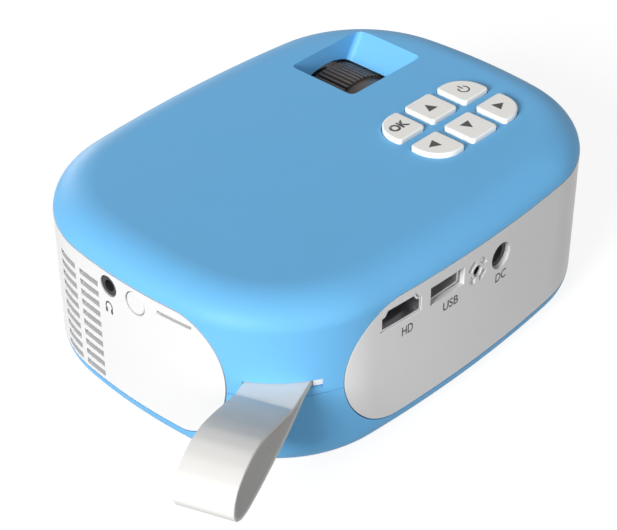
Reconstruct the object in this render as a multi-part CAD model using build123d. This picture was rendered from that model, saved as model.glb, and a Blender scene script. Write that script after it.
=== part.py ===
from build123d import *
import os
from math import acos, atan2, cos, degrees, hypot, radians, sin, sqrt

# A palm-sized media projector with a focus window and six keys on top, sockets on two sides and a
# wrist strap at one corner. Millimetres. +Z is up, -Y is the lens face, +Y the face with the video,
# USB and power sockets, +X the face with the louvres and the headphone and card sockets. The origin
# is the mouth of the tripod thread, in the middle of the underside.

# ---------------------------------------------------------------- body
BODY_L = 156.0            # along X
BODY_W = 117.5            # along Y
BODY_H = 54.7             # underside to flat top
END_BOW_R = 178.0         # the +X and -X faces are bowed to this radius
SIDE_BOW_R = 412.0        # the +Y and -Y faces are bowed to this radius
CORNER_R = 40.7
TOP_ROUND_IN = 12.3       # the top edge's rounding, inwards and downwards
TOP_ROUND_DOWN = 8.3
BASE_ROUND_IN = 5.9       # the bottom edge's rounding, inwards and upwards
BASE_ROUND_UP = 6.7
SKIN_T = 2.0              # walls, floor and roof of the two shells
SEAM_Z = 25.1             # where the two shells meet
SEAM_GAP = 0.2
TONGUE_H = 2.2            # the lower shell's tongue behind the upper shell's wall
ROUND_STEPS = 6           # sections that shape each rounding
FIT = 0.25                # clearance between fixed pieces
RUN = 0.30                # clearance between moving faces
OVER = 1.0                # how far a cut runs past the face it opens
REACH = 200.0             # past every face of the part, for cuts that go right out

# ---------------------------------------------------------------- side band
BAND_TOP_Z = BODY_H - 7.7
BAND_BASE_Z = 6.3
BAND_T = 1.75
BAND_GROOVE = 0.35        # open line between the band and the shells
LINER_T = 1.2             # the shells' lip behind the band
LIP_H = 2.4               # how far the lip reaches behind the band
X_END_Y = 18.2            # on the +X face the band's rounded end starts at this Y
X_END_REACH = 14.8
Y_END_X = 30.8            # on the +Y face it starts at this X
Y_END_REACH = 19.0

# ---------------------------------------------------------------- louvres
VENT_ROWS = 10
VENT_H = 1.95
VENT_LOW_Z = BAND_BASE_Z + 2.15        # middle of the lowest row
VENT_HIGH_Z = BAND_TOP_Z - 6.555       # and of the highest
VENT_PITCH = (VENT_HIGH_Z - VENT_LOW_Z) / (VENT_ROWS - 1)
VENT_LEN = 8.6
LOUVRE_COLUMNS_Y = (-16.55, -27.45)      # middles, on the +X face
EXHAUST_COLUMNS_Y = (22.3, 33.1, 43.9)   # middles, on the -X face
UNDER_SLOTS = 10
UNDER_SLOT_W = 2.2
UNDER_SLOT_PITCH = 5.2
UNDER_SLOT_X0 = 34.5
UNDER_SLOT_Y0 = 36.0
UNDER_SLOT_Y1 = 50.0
UNDER_GROOVE_DEEP = 1.2

# ---------------------------------------------------------------- keys
KEY_X = -36.6             # middle of the key group
KEY_Y = 18.0
KEY_L = 11.6              # a key's size along X
KEY_W = 11.6              # and along Y
KEY_PITCH_X = 15.0
KEY_PITCH_Y = 15.4
KEY_BIG_R = 8.6           # outer corner of the four corner keys
KEY_SMALL_R = 1.3
KEY_PROUD = 1.5
KEY_EDGE = 0.5            # rounding of a key's upper edge
KEY_GAP = 0.30            # around a key in its hole
KEY_TRAVEL = 0.6
KEY_LIP = 0.7             # the flange that keeps a key in
KEY_LIP_T = 0.9
KEY_STEM_R = 1.5
KEY_STEM_H = 0.8
PLUNGER_R = 1.2
PLUNGER_H = 0.5
SWITCH_S = 5.2
SWITCH_T = 1.0
KEY_BOARD_T = 1.2
KEY_REST_GAP = 0.1        # above a key's flange at rest, and under its stem when pressed
KEY_BOARD_EDGE_X = 1.5    # from the outer keys to the board's edge
KEY_BOARD_EDGE_Y = 6.2
KEY_POST_R = 2.4
KEY_POST_X = 12.0         # from the middle of the group

# ---------------------------------------------------------------- lens and focus ring
LENS_X = -43.4
LENS_Z = BODY_H / 2 + 0.25
RING_R = 20.6             # over the ribs
RING_SMOOTH_R = 19.6
RING_BORE_R = 18.6
RING_FRONT_Y = -37.6
RING_RIB_END_Y = -25.2
RING_BACK_Y = -11.6
RIB_COUNT = 72
RIB_DEEP = 1.0
RIB_GROOVE_SHARE = 0.5    # of a rib's pitch
MOUNT_T = 1.5
MOUNT_FRONT_Y = -40.4
MOUNT_FLANGE_S = 37.0
CLIP_T = 0.8
CLIP_DEEP = 1.3
BARREL_T = 2.0
BARREL_FRONT_Y = -44.4
BARREL_BACK_Y = -13.0
BARREL_STEP_Y = -32.0
BARREL_REAR_BORE_R = 11.5
FOCUS_TRAVEL = 2.0
FRONT_LENS_Y = -39.5
FRONT_LENS_T = 6.0
MIDDLE_LENS_Y = -26.0
REAR_LENS_Y = -17.0
REAR_LENS_T = 4.0
LENS_RIM_T = 2.0
BEZEL_T = 1.6
BEZEL_BACK_Y = -43.0
BEZEL_PROUD = 0.6

# ---------------------------------------------------------------- focus window
WINDOW_L = 32.3
WINDOW_W = 25.9
WINDOW_Y = -25.9
WINDOW_R = 2.0
WINDOW_WALL = 1.3
WINDOW_SLOPE = 0.61       # the -X wall leans in this far for each millimetre down
WINDOW_FOOT_Z = LENS_Z + 12.4
WINDOW_RING_GAP = 0.55

# ---------------------------------------------------------------- light engine
ENGINE_L = 46.0
ENGINE_H = BODY_H - 20.7  # between the floor and the main board
ENGINE_T = 1.8
ENGINE_FRONT_Y = -8.4
ENGINE_BACK_Y = 21.0
ENGINE_PORT_R = 13.0
PANE_FIT = 0.2
LCD_Y = -2.0
LCD_T = 2.0
FIELD_Y = 3.0
FIELD_T = 1.4
HEAT_GLASS_Y = 7.0
HEAT_GLASS_T = 1.1
CONDENSER_Y = 12.0
CONDENSER_R = ENGINE_H / 2 - 3.5
CONDENSER_T = 6.5
HOLDER_T = 2.0
LED_BOARD_S = 24.0
LED_BOARD_T = 1.6
LED_S = 9.0
LED_T = 1.2
SINK_L = 34.0
SINK_BASE_T = 3.0
SINK_FIN_H = 12.0
SINK_FIN_T = 1.2
SINK_FINS = 12
FAN_S = BODY_H - 14.7     # as tall as fits between the floor and the main board
FAN_T = 10.0
FAN_X = -36.8
FAN_Y = 42.0
FAN_Z = LENS_Z - 3.0
FAN_BORE_R = FAN_S / 2 - 1.4
FAN_HUB_R = 8.5
FAN_HUB_T = 7.0
FAN_BLADES = 7
FAN_BLADE_T = 1.0
FAN_BLADE_TILT = 38.0
FAN_SHAFT_R = 1.5
FAN_SHAFT_FIT = 0.05
FAN_SPOKE_T = 1.5
FAN_SPOKE_W = 3.0
FAN_SPOKE_TURNS = (45.0, 135.0)

# ---------------------------------------------------------------- main board and sockets
BOARD_T = 1.6
BOARD_UNDER_Z = BODY_H - 9.4             # the sockets hang from this face
BOARD_WALL_GAP = 1.0      # from the board's edge to the shells' lip
BOARD_REAR_X = -18.0      # the rear strip, with the sockets, starts here
BOARD_REAR_Y = 34.0
BOARD_MAIN_X = 6.0        # the wide part starts here
BOARD_MAIN_Y = -18.0
BOARD_POST_R = 2.8
BOARD_POSTS_X = (12.0, 54.0)
BOARD_POSTS_Y = (-12.0, 39.0)
HD_X = 30.7
HD_BASE_Z = BOARD_UNDER_Z - 6.6
HD_W = 13.9
HD_SHOULDER_Z = BOARD_UNDER_Z - 3.1
HD_STEP_Z = BOARD_UNDER_Z - 2.8
HD_STEP_W = 11.7
HD_TOP_W = 9.6
HD_TOP_Z = BOARD_UNDER_Z - 1.2
HD_DEEP = 11.0
SOCKET_T = 0.5            # sheet metal of the sockets
SOCKET_SET_BACK = 0.25
SOCKET_BACK_T = 1.0       # closed end behind a socket's bore
USB_X = 12.3
USB_Z = BOARD_UNDER_Z - 4.95
USB_CUT_W = 14.1
USB_CUT_H = 6.1
USB_W = 12.7
USB_H = 5.3
USB_DEEP = 14.0
USB_TONGUE_W = 10.7
USB_TONGUE_BACK = 1.0
AV_X = -0.5
AV_Z = BOARD_UNDER_Z - 6.5
AV_BORE_R = 1.8
AV_SLOT_R0 = 2.5
AV_SLOT_R1 = 4.3
AV_SLOT_SPAN = 58.0       # degrees
AV_SLOT_TURN = 45.0
AV_BODY_W = 9.0
AV_DEEP = 12.0
AV_FACE_T = 0.9           # the band is this thin in front of the round socket
DC_X = -11.3
DC_Z = BOARD_UNDER_Z - 7.0
DC_CUT_R = 4.25
DC_BORE_R = 3.2
DC_PIN_R = 1.0
DC_PIN_BACK = 1.0
DC_BODY_W = 8.8
DC_DEEP = 12.0
JACK_Y = -7.4
JACK_Z = BOARD_UNDER_Z - 2.9
JACK_NOSE_R = 3.1
JACK_BORE_R = 1.8
JACK_BODY_W = 7.0
JACK_DEEP = 12.5
BUTTON_Y = 3.5
BUTTON_Z = BOARD_UNDER_Z - 3.1
BUTTON_R = 3.5
BUTTON_GAP = 0.3
BUTTON_TRAVEL = 0.6
BUTTON_LIP = 0.6
BUTTON_LIP_T = 0.8
CARD_Y = 17.85
CARD_Z = BOARD_UNDER_Z - 1.6
CARD_SLOT_W = 11.9
CARD_SLOT_H = 1.1
CARD_BODY_W = 14.0
CARD_BODY_H = 2.0
CARD_DEEP = 14.0
CHIP_S = 17.0
CHIP_T = 1.6
CHIP_X = 36.0
CHIP_Y = 18.0
CHIP_SINK_S = 24.0
CHIP_SINK_T = 6.0
FLEX_W = 12.0
FLEX_T = 0.25

# ---------------------------------------------------------------- speaker and driver board
RIB_L = 8.0
RIB_T = 2.0
SPEAKER_BASE_Z = 6.6
SPEAKER_S = JACK_Z - JACK_BODY_W / 2 - RUN - SPEAKER_BASE_Z     # it just clears the headphone jack
SPEAKER_Y = -22.0
SPEAKER_Z = SPEAKER_BASE_Z + SPEAKER_S / 2
SPEAKER_X = 63.6          # front of the basket
SPEAKER_RIM_T = 1.6
SPEAKER_DEEP = 9.0
CONE_R = SPEAKER_S / 2 - 2.0
CONE_HUB_R = 5.0
CONE_T = 0.7
MAGNET_R = 9.0
MAGNET_T = 5.0
DRIVER_L = 52.0
DRIVER_W = 34.0
DRIVER_X = 16.0
DRIVER_Y = -26.0
DRIVER_POST_IN = 4.0      # posts' distance inside the board's edges
DRIVER_Z = 9.0
DRIVER_BOARD_T = 1.6
COIL_R = 7.0
COIL_BORE_R = 3.0
COIL_H = 7.0
CAN_R = 4.0
CAN_H = 12.0
CAN_PLACES = (0.0, 12.0)  # along X from the driver board's middle
LEAD_R = 0.9
LEAD_BEND_R = 3.0
LEAD_END_GAP = 0.1
LEAD_Z = 24.0             # where the leads leave the speaker, the fan and the engine
SPEAKER_LEAD = ((42.0, -18.0, LEAD_Z), (30.0, -10.0, LEAD_Z + 10))
FAN_LEAD = ((-8.0, 38.0, LEAD_Z),)
LED_LEAD = ((-10.0, 12.0, LEAD_Z), (-4.0, -6.0, LEAD_Z - 6), (-4.0, -16.0, LEAD_Z - 6))

# ---------------------------------------------------------------- strap
STRAP_ANGLE = 21.0        # the strap leaves the corner at this angle from +X
STRAP_W = 16.4
STRAP_T = 1.1
STRAP_FOLD_GAP = 0.1      # between its two layers in the slot
STRAP_EDGE_X = 58.7       # where the strap's +Y edge leaves the wall
STRAP_EDGE_Y = 50.3
STRAP_TOP_Z = SEAM_Z + 4.8
STRAP_FLAT = 12.0         # how far the upper layer runs out flat
STRAP_LOW_FLAT = 3.5      # and the lower layer
STRAP_NOSE = ((22.5, 2.0), (32.0, 5.3), (42.0, 4.2), (48.7, -1.6), (47.6, -8.0), (41.0, -10.1),
              (27.0, -7.8), (14.0, -5.0))        # middle of the loop: (out, up) from the upper layer
STRAP_STEPS = 40
SLOT_SIDE_GAP = 2.75      # beside the strap, at the +Y end of its slot
SLOT_NEAR_GAP = 0.35
SLOT_HEAD_GAP = 0.25
ANCHOR_IN = 9.0           # the anchor block's distance inside the wall
ANCHOR_L = 6.0
ANCHOR_H = 6.0
ANCHOR_POST_R = 3.0
ANCHOR_TAB_BACK = 0.8     # its tab ends this far behind the wall's face

# ---------------------------------------------------------------- feet and fasteners
FOOT_R = 5.0
FOOT_H = 1.2
FOOT_EDGE = 0.4
FOOT_SEAT = 0.6
FOOT_X = 50.0
FOOT_Y = 34.0
TRIPOD_R = 2.55
TRIPOD_DEEP = 8.0
INSERT_R = 4.5
INSERT_CAP_T = 1.2
CASE_POSTS = ((-65.5, 31.0), (-16.0, -50.0), (40.0, -48.0), (65.0, 30.5))
CASE_POST_R = 4.0
SCREW_R = 1.2
SEAT_FIT = 0.05           # of a screw, insert, foot or clip on its seat
SCREW_HEAD_R = 2.3
SCREW_HEAD_H = 1.4
SCREW_GRIP = 6.0
SCREW_LEN = 4.8
CASE_SCREW_LEN = 14.0

# ---------------------------------------------------------------- worked out
HALF_L = BODY_L / 2
HALF_W = BODY_W / 2
ROOF_Z = BODY_H - SKIN_T
LINER_IN = SKIN_T + LINER_T
ROOM_IN = LINER_IN + FIT                # everything inside stays within this inset
KEY_LIP_Z = ROOF_Z - KEY_REST_GAP - KEY_LIP_T
KEY_STEM_Z = KEY_LIP_Z - KEY_STEM_H
PLUNGER_Z = KEY_STEM_Z - KEY_TRAVEL - KEY_REST_GAP
KEY_BOARD_TOP_Z = PLUNGER_Z - PLUNGER_H - SWITCH_T
KEY_BOARD_Z = KEY_BOARD_TOP_Z - KEY_BOARD_T
MOUNT_R = RING_BORE_R - RUN
MOUNT_BORE_R = MOUNT_R - MOUNT_T
BARREL_R = MOUNT_BORE_R - RUN
BARREL_BORE_R = BARREL_R - BARREL_T
BEZEL_BORE_R = BARREL_R + 2 * RUN
BEZEL_R = BEZEL_BORE_R + BEZEL_T
ENGINE_BASE_Z = LENS_Z - ENGINE_H / 2
ENGINE_ROOM_L = ENGINE_L - 2 * ENGINE_T
ENGINE_ROOM_H = ENGINE_H - 2 * ENGINE_T
SINK_Y = ENGINE_BACK_Y + SINK_BASE_T
HUB_FRONT_Y = FAN_Y + FAN_T / 2 - FAN_SPOKE_T - RUN - FAN_HUB_T
BOARD_TOP_Z = BOARD_UNDER_Z + BOARD_T
PILOT_R = SCREW_R + SEAT_FIT
STRAP_FOLD_T = 2 * STRAP_T + STRAP_FOLD_GAP
SLOT_TOP_Z = STRAP_TOP_Z + SLOT_HEAD_GAP
SLOT_BASE_Z = STRAP_TOP_Z - STRAP_FOLD_T - SLOT_HEAD_GAP
ANCHOR_BASE_Z = STRAP_TOP_Z - STRAP_FOLD_T / 2 - ANCHOR_H / 2
MAGNET_X = SPEAKER_X - SPEAKER_DEEP


def corner_centre():
    """Centre of the +X+Y corner's arc, which is tangent inside both bowed faces."""
    end_x = HALF_L - END_BOW_R
    side_y = HALF_W - SIDE_BOW_R
    end_r = END_BOW_R - CORNER_R
    side_r = SIDE_BOW_R - CORNER_R
    span = hypot(end_x, side_y)
    along = (end_r ** 2 - side_r ** 2 + span ** 2) / (2 * span)
    across = sqrt(end_r ** 2 - along ** 2)
    ux = -end_x / span
    uy = side_y / span
    return end_x + ux * along - uy * across, uy * along + ux * across


CORNER_X, CORNER_Y = corner_centre()
END_SWEEP = degrees(atan2(CORNER_Y, CORNER_X - HALF_L + END_BOW_R))
SIDE_SWEEP = degrees(atan2(CORNER_X, CORNER_Y - HALF_W + SIDE_BOW_R))


def wall_x(y, inset=0.0):
    """X of the +X wall at this Y, moved in by the inset."""
    y = abs(y)
    bow = END_BOW_R - inset
    if y <= bow * sin(radians(END_SWEEP)):
        return HALF_L - END_BOW_R + sqrt(bow ** 2 - y ** 2)
    return CORNER_X + sqrt((CORNER_R - inset) ** 2 - (y - CORNER_Y) ** 2)


def wall_y(x, inset=0.0):
    """Y of the +Y wall at this X, moved in by the inset."""
    x = abs(x)
    bow = SIDE_BOW_R - inset
    if x <= bow * sin(radians(SIDE_SWEEP)):
        return HALF_W - SIDE_BOW_R + sqrt(bow ** 2 - x ** 2)
    return CORNER_Y + sqrt((CORNER_R - inset) ** 2 - (x - CORNER_X) ** 2)


def rear_face(x, width, inset):
    """Y of the flattest plane that fits behind the +Y wall over this width."""
    return min(wall_y(x - width / 2, inset), wall_y(x + width / 2, inset))


def side_face(y, width, inset):
    return min(wall_x(y - width / 2, inset), wall_x(y + width / 2, inset))


# ---------------------------------------------------------------- plain solids
def block(x0, x1, y0, y1, z0, z1):
    return Pos((x0 + x1) / 2, (y0 + y1) / 2, (z0 + z1) / 2) * Box(x1 - x0, y1 - y0, z1 - z0)


def rod_x(radius, y, z, x0, x1):
    return Pos((x0 + x1) / 2, y, z) * Rot(0, 90, 0) * Cylinder(radius, x1 - x0)


def rod_y(radius, x, z, y0, y1):
    return Pos(x, (y0 + y1) / 2, z) * Rot(90, 0, 0) * Cylinder(radius, y1 - y0)


def rod_z(radius, x, y, z0, z1):
    return Pos(x, y, (z0 + z1) / 2) * Cylinder(radius, z1 - z0)


def lens_rod(radius, y0, y1):
    return rod_y(radius, LENS_X, LENS_Z, y0, y1)


def lens_tube(outer, inner, y0, y1):
    return lens_rod(outer, y0, y1) - lens_rod(inner, y0, y1)


def along_y(face, y0, y1):
    """A face drawn as (X, Z), run along Y."""
    return Pos(0, y0, 0) * extrude(Plane.XZ * face, -(y1 - y0))


def arc(x, y, radius, start, sweep):
    """Arc whose own zero lies at its start, so that no hole crosses a wall's seam."""
    return Location((x, y, 0), (0, 0, start)) * CenterArc((0, 0), radius, 0, sweep)


def outline(inset=0.0):
    """The body's plan: four bowed faces and four corners, all tangent arcs."""
    corner_r = CORNER_R - inset
    turn = 90 - END_SWEEP - SIDE_SWEEP
    bows = ((HALF_L - END_BOW_R, 0, END_BOW_R, END_SWEEP),
            (0, HALF_W - SIDE_BOW_R, SIDE_BOW_R, SIDE_SWEEP))
    edges = []
    for side, sx, sy in ((0, 1, 1), (1, -1, 1), (2, -1, -1), (3, 1, -1)):
        x, y, bow_r, sweep = bows[side % 2]
        sign = 1 if side < 2 else -1
        edges.append(arc(sign * x, sign * y, bow_r - inset, 90 * side - sweep, 2 * sweep))
        edges.append(arc(sx * CORNER_X, sy * CORNER_Y, corner_r, 90 * side + sweep, turn))
    return make_face(Curve() + edges)


def slab(inset, z0, z1):
    """The body's plan as a straight-walled slab."""
    return extrude(Pos(0, 0, z0) * outline(inset), z1 - z0)


def ring_slab(outer, inner, z0, z1):
    return slab(outer, z0, z1) - slab(inner, z0, z1)


def rounding(z, inwards, up, inset, least):
    """Sections of one rounding, from the wall outwards to the flat face; up may be negative."""
    start = acos(1 - (least - inset) / inwards)
    turns = [start + (radians(90) - start) * i / ROUND_STEPS for i in range(ROUND_STEPS + 1)]
    return [(z + up * sin(turn), inset + inwards * (1 - cos(turn))) for turn in turns]


def body_block(inset=0.0, least=0.0):
    """The body with every face moved in, and its walls moved in by the second value if larger."""
    least = max(inset, least)
    top = rounding(BODY_H - TOP_ROUND_DOWN, TOP_ROUND_IN - inset, TOP_ROUND_DOWN - inset, inset, least)
    base = rounding(BASE_ROUND_UP, BASE_ROUND_IN - inset, inset - BASE_ROUND_UP, inset, least)
    solid = slab(least, base[0][0], top[0][0])
    for sections in (top, base):
        solid += loft([Pos(0, 0, z) * outline(at) for z, at in sections])
    return solid


# ---------------------------------------------------------------- side band
def band_end(start, reach, margin):
    """Face of the band's rounded end, drawn as (along the wall, up)."""
    low = BAND_BASE_Z + margin
    high = BAND_TOP_Z - margin
    middle = (low + high) / 2
    run = REACH + start
    plain = Pos(start - run / 2, middle) * Rectangle(run, high - low)
    return plain + Pos(start, middle) * Ellipse(reach - margin, (high - low) / 2)


def band_zone(margin=0.0):
    """Where the band lies: all round the body, but for the +X+Y corner."""
    low = BAND_BASE_Z + margin
    high = BAND_TOP_Z - margin
    on_x = extrude(Plane.YZ * band_end(X_END_Y, X_END_REACH, margin), REACH)
    on_x &= block(Y_END_X, REACH, -REACH, REACH, low, high)
    on_y = along_y(band_end(Y_END_X, Y_END_REACH, margin), X_END_Y, REACH)
    rest = block(-REACH, Y_END_X, -REACH, X_END_Y, low, high)
    return rest + on_x + on_y


def louvre_row(z):
    """One row of slots: the speaker's on the +X face, the fan's near the -X+Y corner."""
    row = [Pos(HALF_L, y, z) * Box(CORNER_X, VENT_LEN, VENT_H) for y in LOUVRE_COLUMNS_Y]
    return row + [Pos(-HALF_L, y, z) * Box(CORNER_X + CORNER_R, VENT_LEN, VENT_H)
                  for y in EXHAUST_COLUMNS_Y]


def louvres():
    return [cut for row in range(VENT_ROWS) for cut in louvre_row(VENT_LOW_Z + row * VENT_PITCH)]


def hd_outline(grow=0.0):
    """The video socket's opening: wide below, with shoulders, narrow above."""
    side = [(HD_W / 2, HD_BASE_Z - grow), (HD_W / 2, HD_SHOULDER_Z + grow),
            (HD_STEP_W / 2, HD_STEP_Z + grow), (HD_TOP_W / 2, HD_TOP_Z + grow)]
    right = [(HD_X + half + grow, z) for half, z in side]
    left = [(HD_X - half - grow, z) for half, z in reversed(side)]
    return make_face(Polyline(*right, *left, close=True))


def av_openings():
    """Centre bore and four curved slots of the round socket, drawn as (X, Z)."""
    ring = Circle(AV_SLOT_R1) - Circle(AV_SLOT_R0)
    half = radians(AV_SLOT_SPAN / 2)
    far = 2 * AV_SLOT_R1
    wedge = make_face(Polyline((0, 0), (far * cos(half), -far * sin(half)),
                               (far * cos(half), far * sin(half)), close=True))
    slots = [Pos(AV_X, AV_Z) * (ring & (Rot(0, 0, AV_SLOT_TURN + 90 * i) * wedge))
             for i in range(4)]
    return slots + [Pos(AV_X, AV_Z) * Circle(AV_BORE_R)]


def side_band():
    band = ring_slab(0, BAND_T, BAND_BASE_Z, BAND_TOP_Z) & band_zone()
    band -= Pos(HALF_L, CARD_Y, CARD_Z) * Box(CORNER_X, CARD_SLOT_W, CARD_SLOT_H)
    band -= lens_rod(BEZEL_R + FIT, -REACH, -CORNER_Y)
    faces = [hd_outline(SOCKET_T + FIT), Pos(USB_X, USB_Z) * Rectangle(USB_CUT_W, USB_CUT_H),
             Pos(DC_X, DC_Z) * Circle(DC_CUT_R)] + av_openings()
    band -= [along_y(face, CORNER_Y, REACH) for face in faces]
    half = AV_BODY_W / 2 + FIT
    band -= block(AV_X - half, AV_X + half, CORNER_Y, rear_face(AV_X, 2 * half, AV_FACE_T),
                  AV_Z - half, BOARD_UNDER_Z + FIT)
    band -= rod_x(JACK_NOSE_R + FIT, JACK_Y, JACK_Z, CORNER_X, REACH)
    band -= rod_x(BUTTON_R + BUTTON_GAP, BUTTON_Y, BUTTON_Z, CORNER_X, REACH)
    return band - louvres()


# ---------------------------------------------------------------- shells
def shell_walls():
    """Both shells as one: walls with a recess for the band and a lip that stands behind it."""
    walls = body_block() - body_block(SKIN_T, LINER_IN)
    walls -= band_zone(-BAND_GROOVE) & ring_slab(-FIT, SKIN_T, 0, BODY_H)
    walls -= band_zone(LIP_H) & ring_slab(SKIN_T - FIT, ROOM_IN, 0, BODY_H)
    return walls - lens_rod(BEZEL_R + FIT, -REACH, -CORNER_Y)


def key_places():
    """Name, middle and rounded outer corner of each key, seen by a user at the +Y side."""
    x0 = KEY_X - KEY_PITCH_X
    x2 = KEY_X + KEY_PITCH_X
    lens_row = KEY_Y - KEY_PITCH_Y / 2
    user_row = KEY_Y + KEY_PITCH_Y / 2
    return [("key_ok", x2, lens_row, (1, -1)), ("key_up", KEY_X, lens_row, None),
            ("key_power", x0, lens_row, (-1, -1)), ("key_left", x2, user_row, (1, 1)),
            ("key_down", KEY_X, user_row, None), ("key_right", x0, user_row, (-1, 1))]


def key_face(corner, grow=0.0):
    """A key's outline about its own middle, grown all round."""
    half_l = KEY_L / 2 + grow
    half_w = KEY_W / 2 + grow
    small = KEY_SMALL_R + grow
    face = RectangleRounded(2 * half_l, 2 * half_w, small)
    if corner is None:
        return face
    big = KEY_BIG_R + grow
    sx, sy = corner
    middle_x = sx * (half_l - big)
    middle_y = sy * (half_w - big)
    square = Pos(middle_x + sx * big / 2, middle_y + sy * big / 2) * Rectangle(big, big)
    return face - (square - Pos(middle_x, middle_y) * Circle(big))


def key_holes():
    return [extrude(Pos(x, y, ROOF_Z - KEY_PROUD) * key_face(corner, KEY_GAP), REACH)
            for _, x, y, corner in key_places()]


def window_face(z, grow=0.0):
    """The window's opening at this height: its -X wall leans in on the way down."""
    lean = WINDOW_SLOPE * (BODY_H - z)
    x0 = LENS_X - WINDOW_L / 2 + lean - grow
    x1 = LENS_X + WINDOW_L / 2 + grow
    face = RectangleRounded(x1 - x0, WINDOW_W + 2 * grow, WINDOW_R + grow)
    return Pos((x0 + x1) / 2, WINDOW_Y, z) * face


def window_funnel(low, high, grow=0.0):
    return loft([window_face(low, grow), window_face(high, grow)])


def ring_room():
    return lens_rod(RING_R + WINDOW_RING_GAP, BARREL_FRONT_Y, RING_BACK_Y + RUN)


def board_posts():
    return [(x, y) for x in BOARD_POSTS_X for y in BOARD_POSTS_Y]


def key_board_size():
    x_reach = KEY_PITCH_X + KEY_L / 2 + KEY_BOARD_EDGE_X
    y_reach = (KEY_PITCH_Y + KEY_W) / 2 + KEY_BOARD_EDGE_Y
    return KEY_X - x_reach, KEY_X + x_reach, KEY_Y - y_reach, KEY_Y + y_reach


def key_posts():
    _, _, y0, y1 = key_board_size()
    edge = KEY_POST_R + FIT
    return [(KEY_X + side * KEY_POST_X, y) for side in (-1, 1) for y in (y0 + edge, y1 - edge)]


def driver_posts():
    reach_x = DRIVER_L / 2 - DRIVER_POST_IN
    reach_y = DRIVER_W / 2 - DRIVER_POST_IN
    return [(DRIVER_X + sx * reach_x, DRIVER_Y + sy * reach_y) for sx in (-1, 1) for sy in (-1, 1)]


def foot_places():
    return [(sx * FOOT_X, sy * FOOT_Y) for sy in (-1, 1) for sx in (-1, 1)]


def socket_rooms():
    """Clearances in the upper shell's lip for the sockets that stand up behind it."""
    rooms = []
    top = BOARD_UNDER_Z + FIT
    for x, width in ((HD_X, HD_W + 2 * SOCKET_T), (USB_X, USB_CUT_W + 2 * SOCKET_T),
                     (AV_X, AV_BODY_W), (DC_X, DC_BODY_W)):
        half = width / 2 + FIT
        rooms.append(block(x - half, x + half, CORNER_Y, REACH, SEAM_Z, top))
    button_top = BUTTON_Z + BUTTON_R + BUTTON_LIP + FIT
    jack_top = JACK_Z + JACK_NOSE_R + FIT
    for y, width, high in ((JACK_Y, JACK_BODY_W, jack_top), (CARD_Y, CARD_BODY_W, top),
                           (BUTTON_Y, 2 * (BUTTON_R + BUTTON_LIP), button_top)):
        half = width / 2 + FIT
        rooms.append(block(CORNER_X, REACH, y - half, y + half, SEAM_Z, high))
    return rooms


def upper_shell():
    low = SEAM_Z + SEAM_GAP / 2
    shell = shell_walls() & block(-REACH, REACH, -REACH, REACH, low, REACH)
    shell -= ring_slab(SKIN_T - FIT, ROOM_IN, SEAM_Z, SEAM_Z + TONGUE_H + FIT)
    roof = ROOF_Z + SKIN_T / 2
    inside = body_block(SKIN_T / 2)
    shell += [rod_z(BOARD_POST_R, x, y, BOARD_TOP_Z, roof) & inside for x, y in board_posts()]
    shell += [rod_z(KEY_POST_R, x, y, KEY_BOARD_TOP_Z, roof) for x, y in key_posts()]
    shell += [rod_z(CASE_POST_R, x, y, low, roof) & inside for x, y in CASE_POSTS]
    shell += window_funnel(WINDOW_FOOT_Z, ROOF_Z + SKIN_T / 2, WINDOW_WALL) & inside
    shell -= window_funnel(WINDOW_FOOT_Z - OVER, BODY_H + OVER)
    shell -= ring_room()
    shell -= [rod_z(PILOT_R, x, y, BOARD_UNDER_Z, ROOF_Z) for x, y in board_posts() + key_posts()]
    shell -= [rod_z(PILOT_R, x, y, 0, SEAM_Z + CASE_SCREW_LEN) for x, y in CASE_POSTS]
    shell -= socket_rooms()
    shell -= key_holes()
    return shell - strap_slot()


def tongue():
    """Stands up behind the upper shell's wall at the corner that the band leaves free."""
    lip = ring_slab(SKIN_T, LINER_IN, SEAM_Z - TONGUE_H, SEAM_Z + TONGUE_H)
    lip &= block(Y_END_X, REACH, X_END_Y, REACH, 0, SLOT_BASE_Z - FIT)
    return lip - band_zone(LIP_H)


def supports():
    """Ribs on the floor that carry the light engine, the fan, the speaker and the strap anchor."""
    base = SKIN_T / 2
    half = RIB_L / 2
    ribs = []
    for x in (LENS_X - ENGINE_L / 4, LENS_X + ENGINE_L / 4):
        for y in (ENGINE_FRONT_Y + RIB_L, ENGINE_BACK_Y - RIB_L):
            ribs.append(block(x - half, x + half, y - RIB_T / 2, y + RIB_T / 2, base, ENGINE_BASE_Z))
    for x in (FAN_X - FAN_S / 4, FAN_X + FAN_S / 4):
        ribs.append(block(x - half, x + half, FAN_Y - RIB_T, FAN_Y + RIB_T, base, FAN_Z - FAN_S / 2))
    low = SPEAKER_Z - SPEAKER_S / 2
    ribs.append(block(SPEAKER_X - RIB_L, SPEAKER_X, SPEAKER_Y - RIB_L, SPEAKER_Y + RIB_L, base, low))
    x, y, _ = strap_place(-ANCHOR_IN - ANCHOR_L / 2, -STRAP_W / 2)
    ribs.append(rod_z(ANCHOR_POST_R, x, y, base, ANCHOR_BASE_Z))
    return ribs


def under_slots():
    """Air slots in the floor; each runs on as a groove through the bottom rounding."""
    cuts = []
    half = UNDER_SLOT_W / 2
    for i in range(UNDER_SLOTS):
        x = UNDER_SLOT_X0 - i * UNDER_SLOT_PITCH
        cuts.append(block(x - half, x + half, UNDER_SLOT_Y0, UNDER_SLOT_Y1, -OVER, 2 * SKIN_T))
        cuts.append(block(x - half, x + half, UNDER_SLOT_Y0, REACH, -OVER, UNDER_GROOVE_DEEP))
    return cuts


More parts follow.
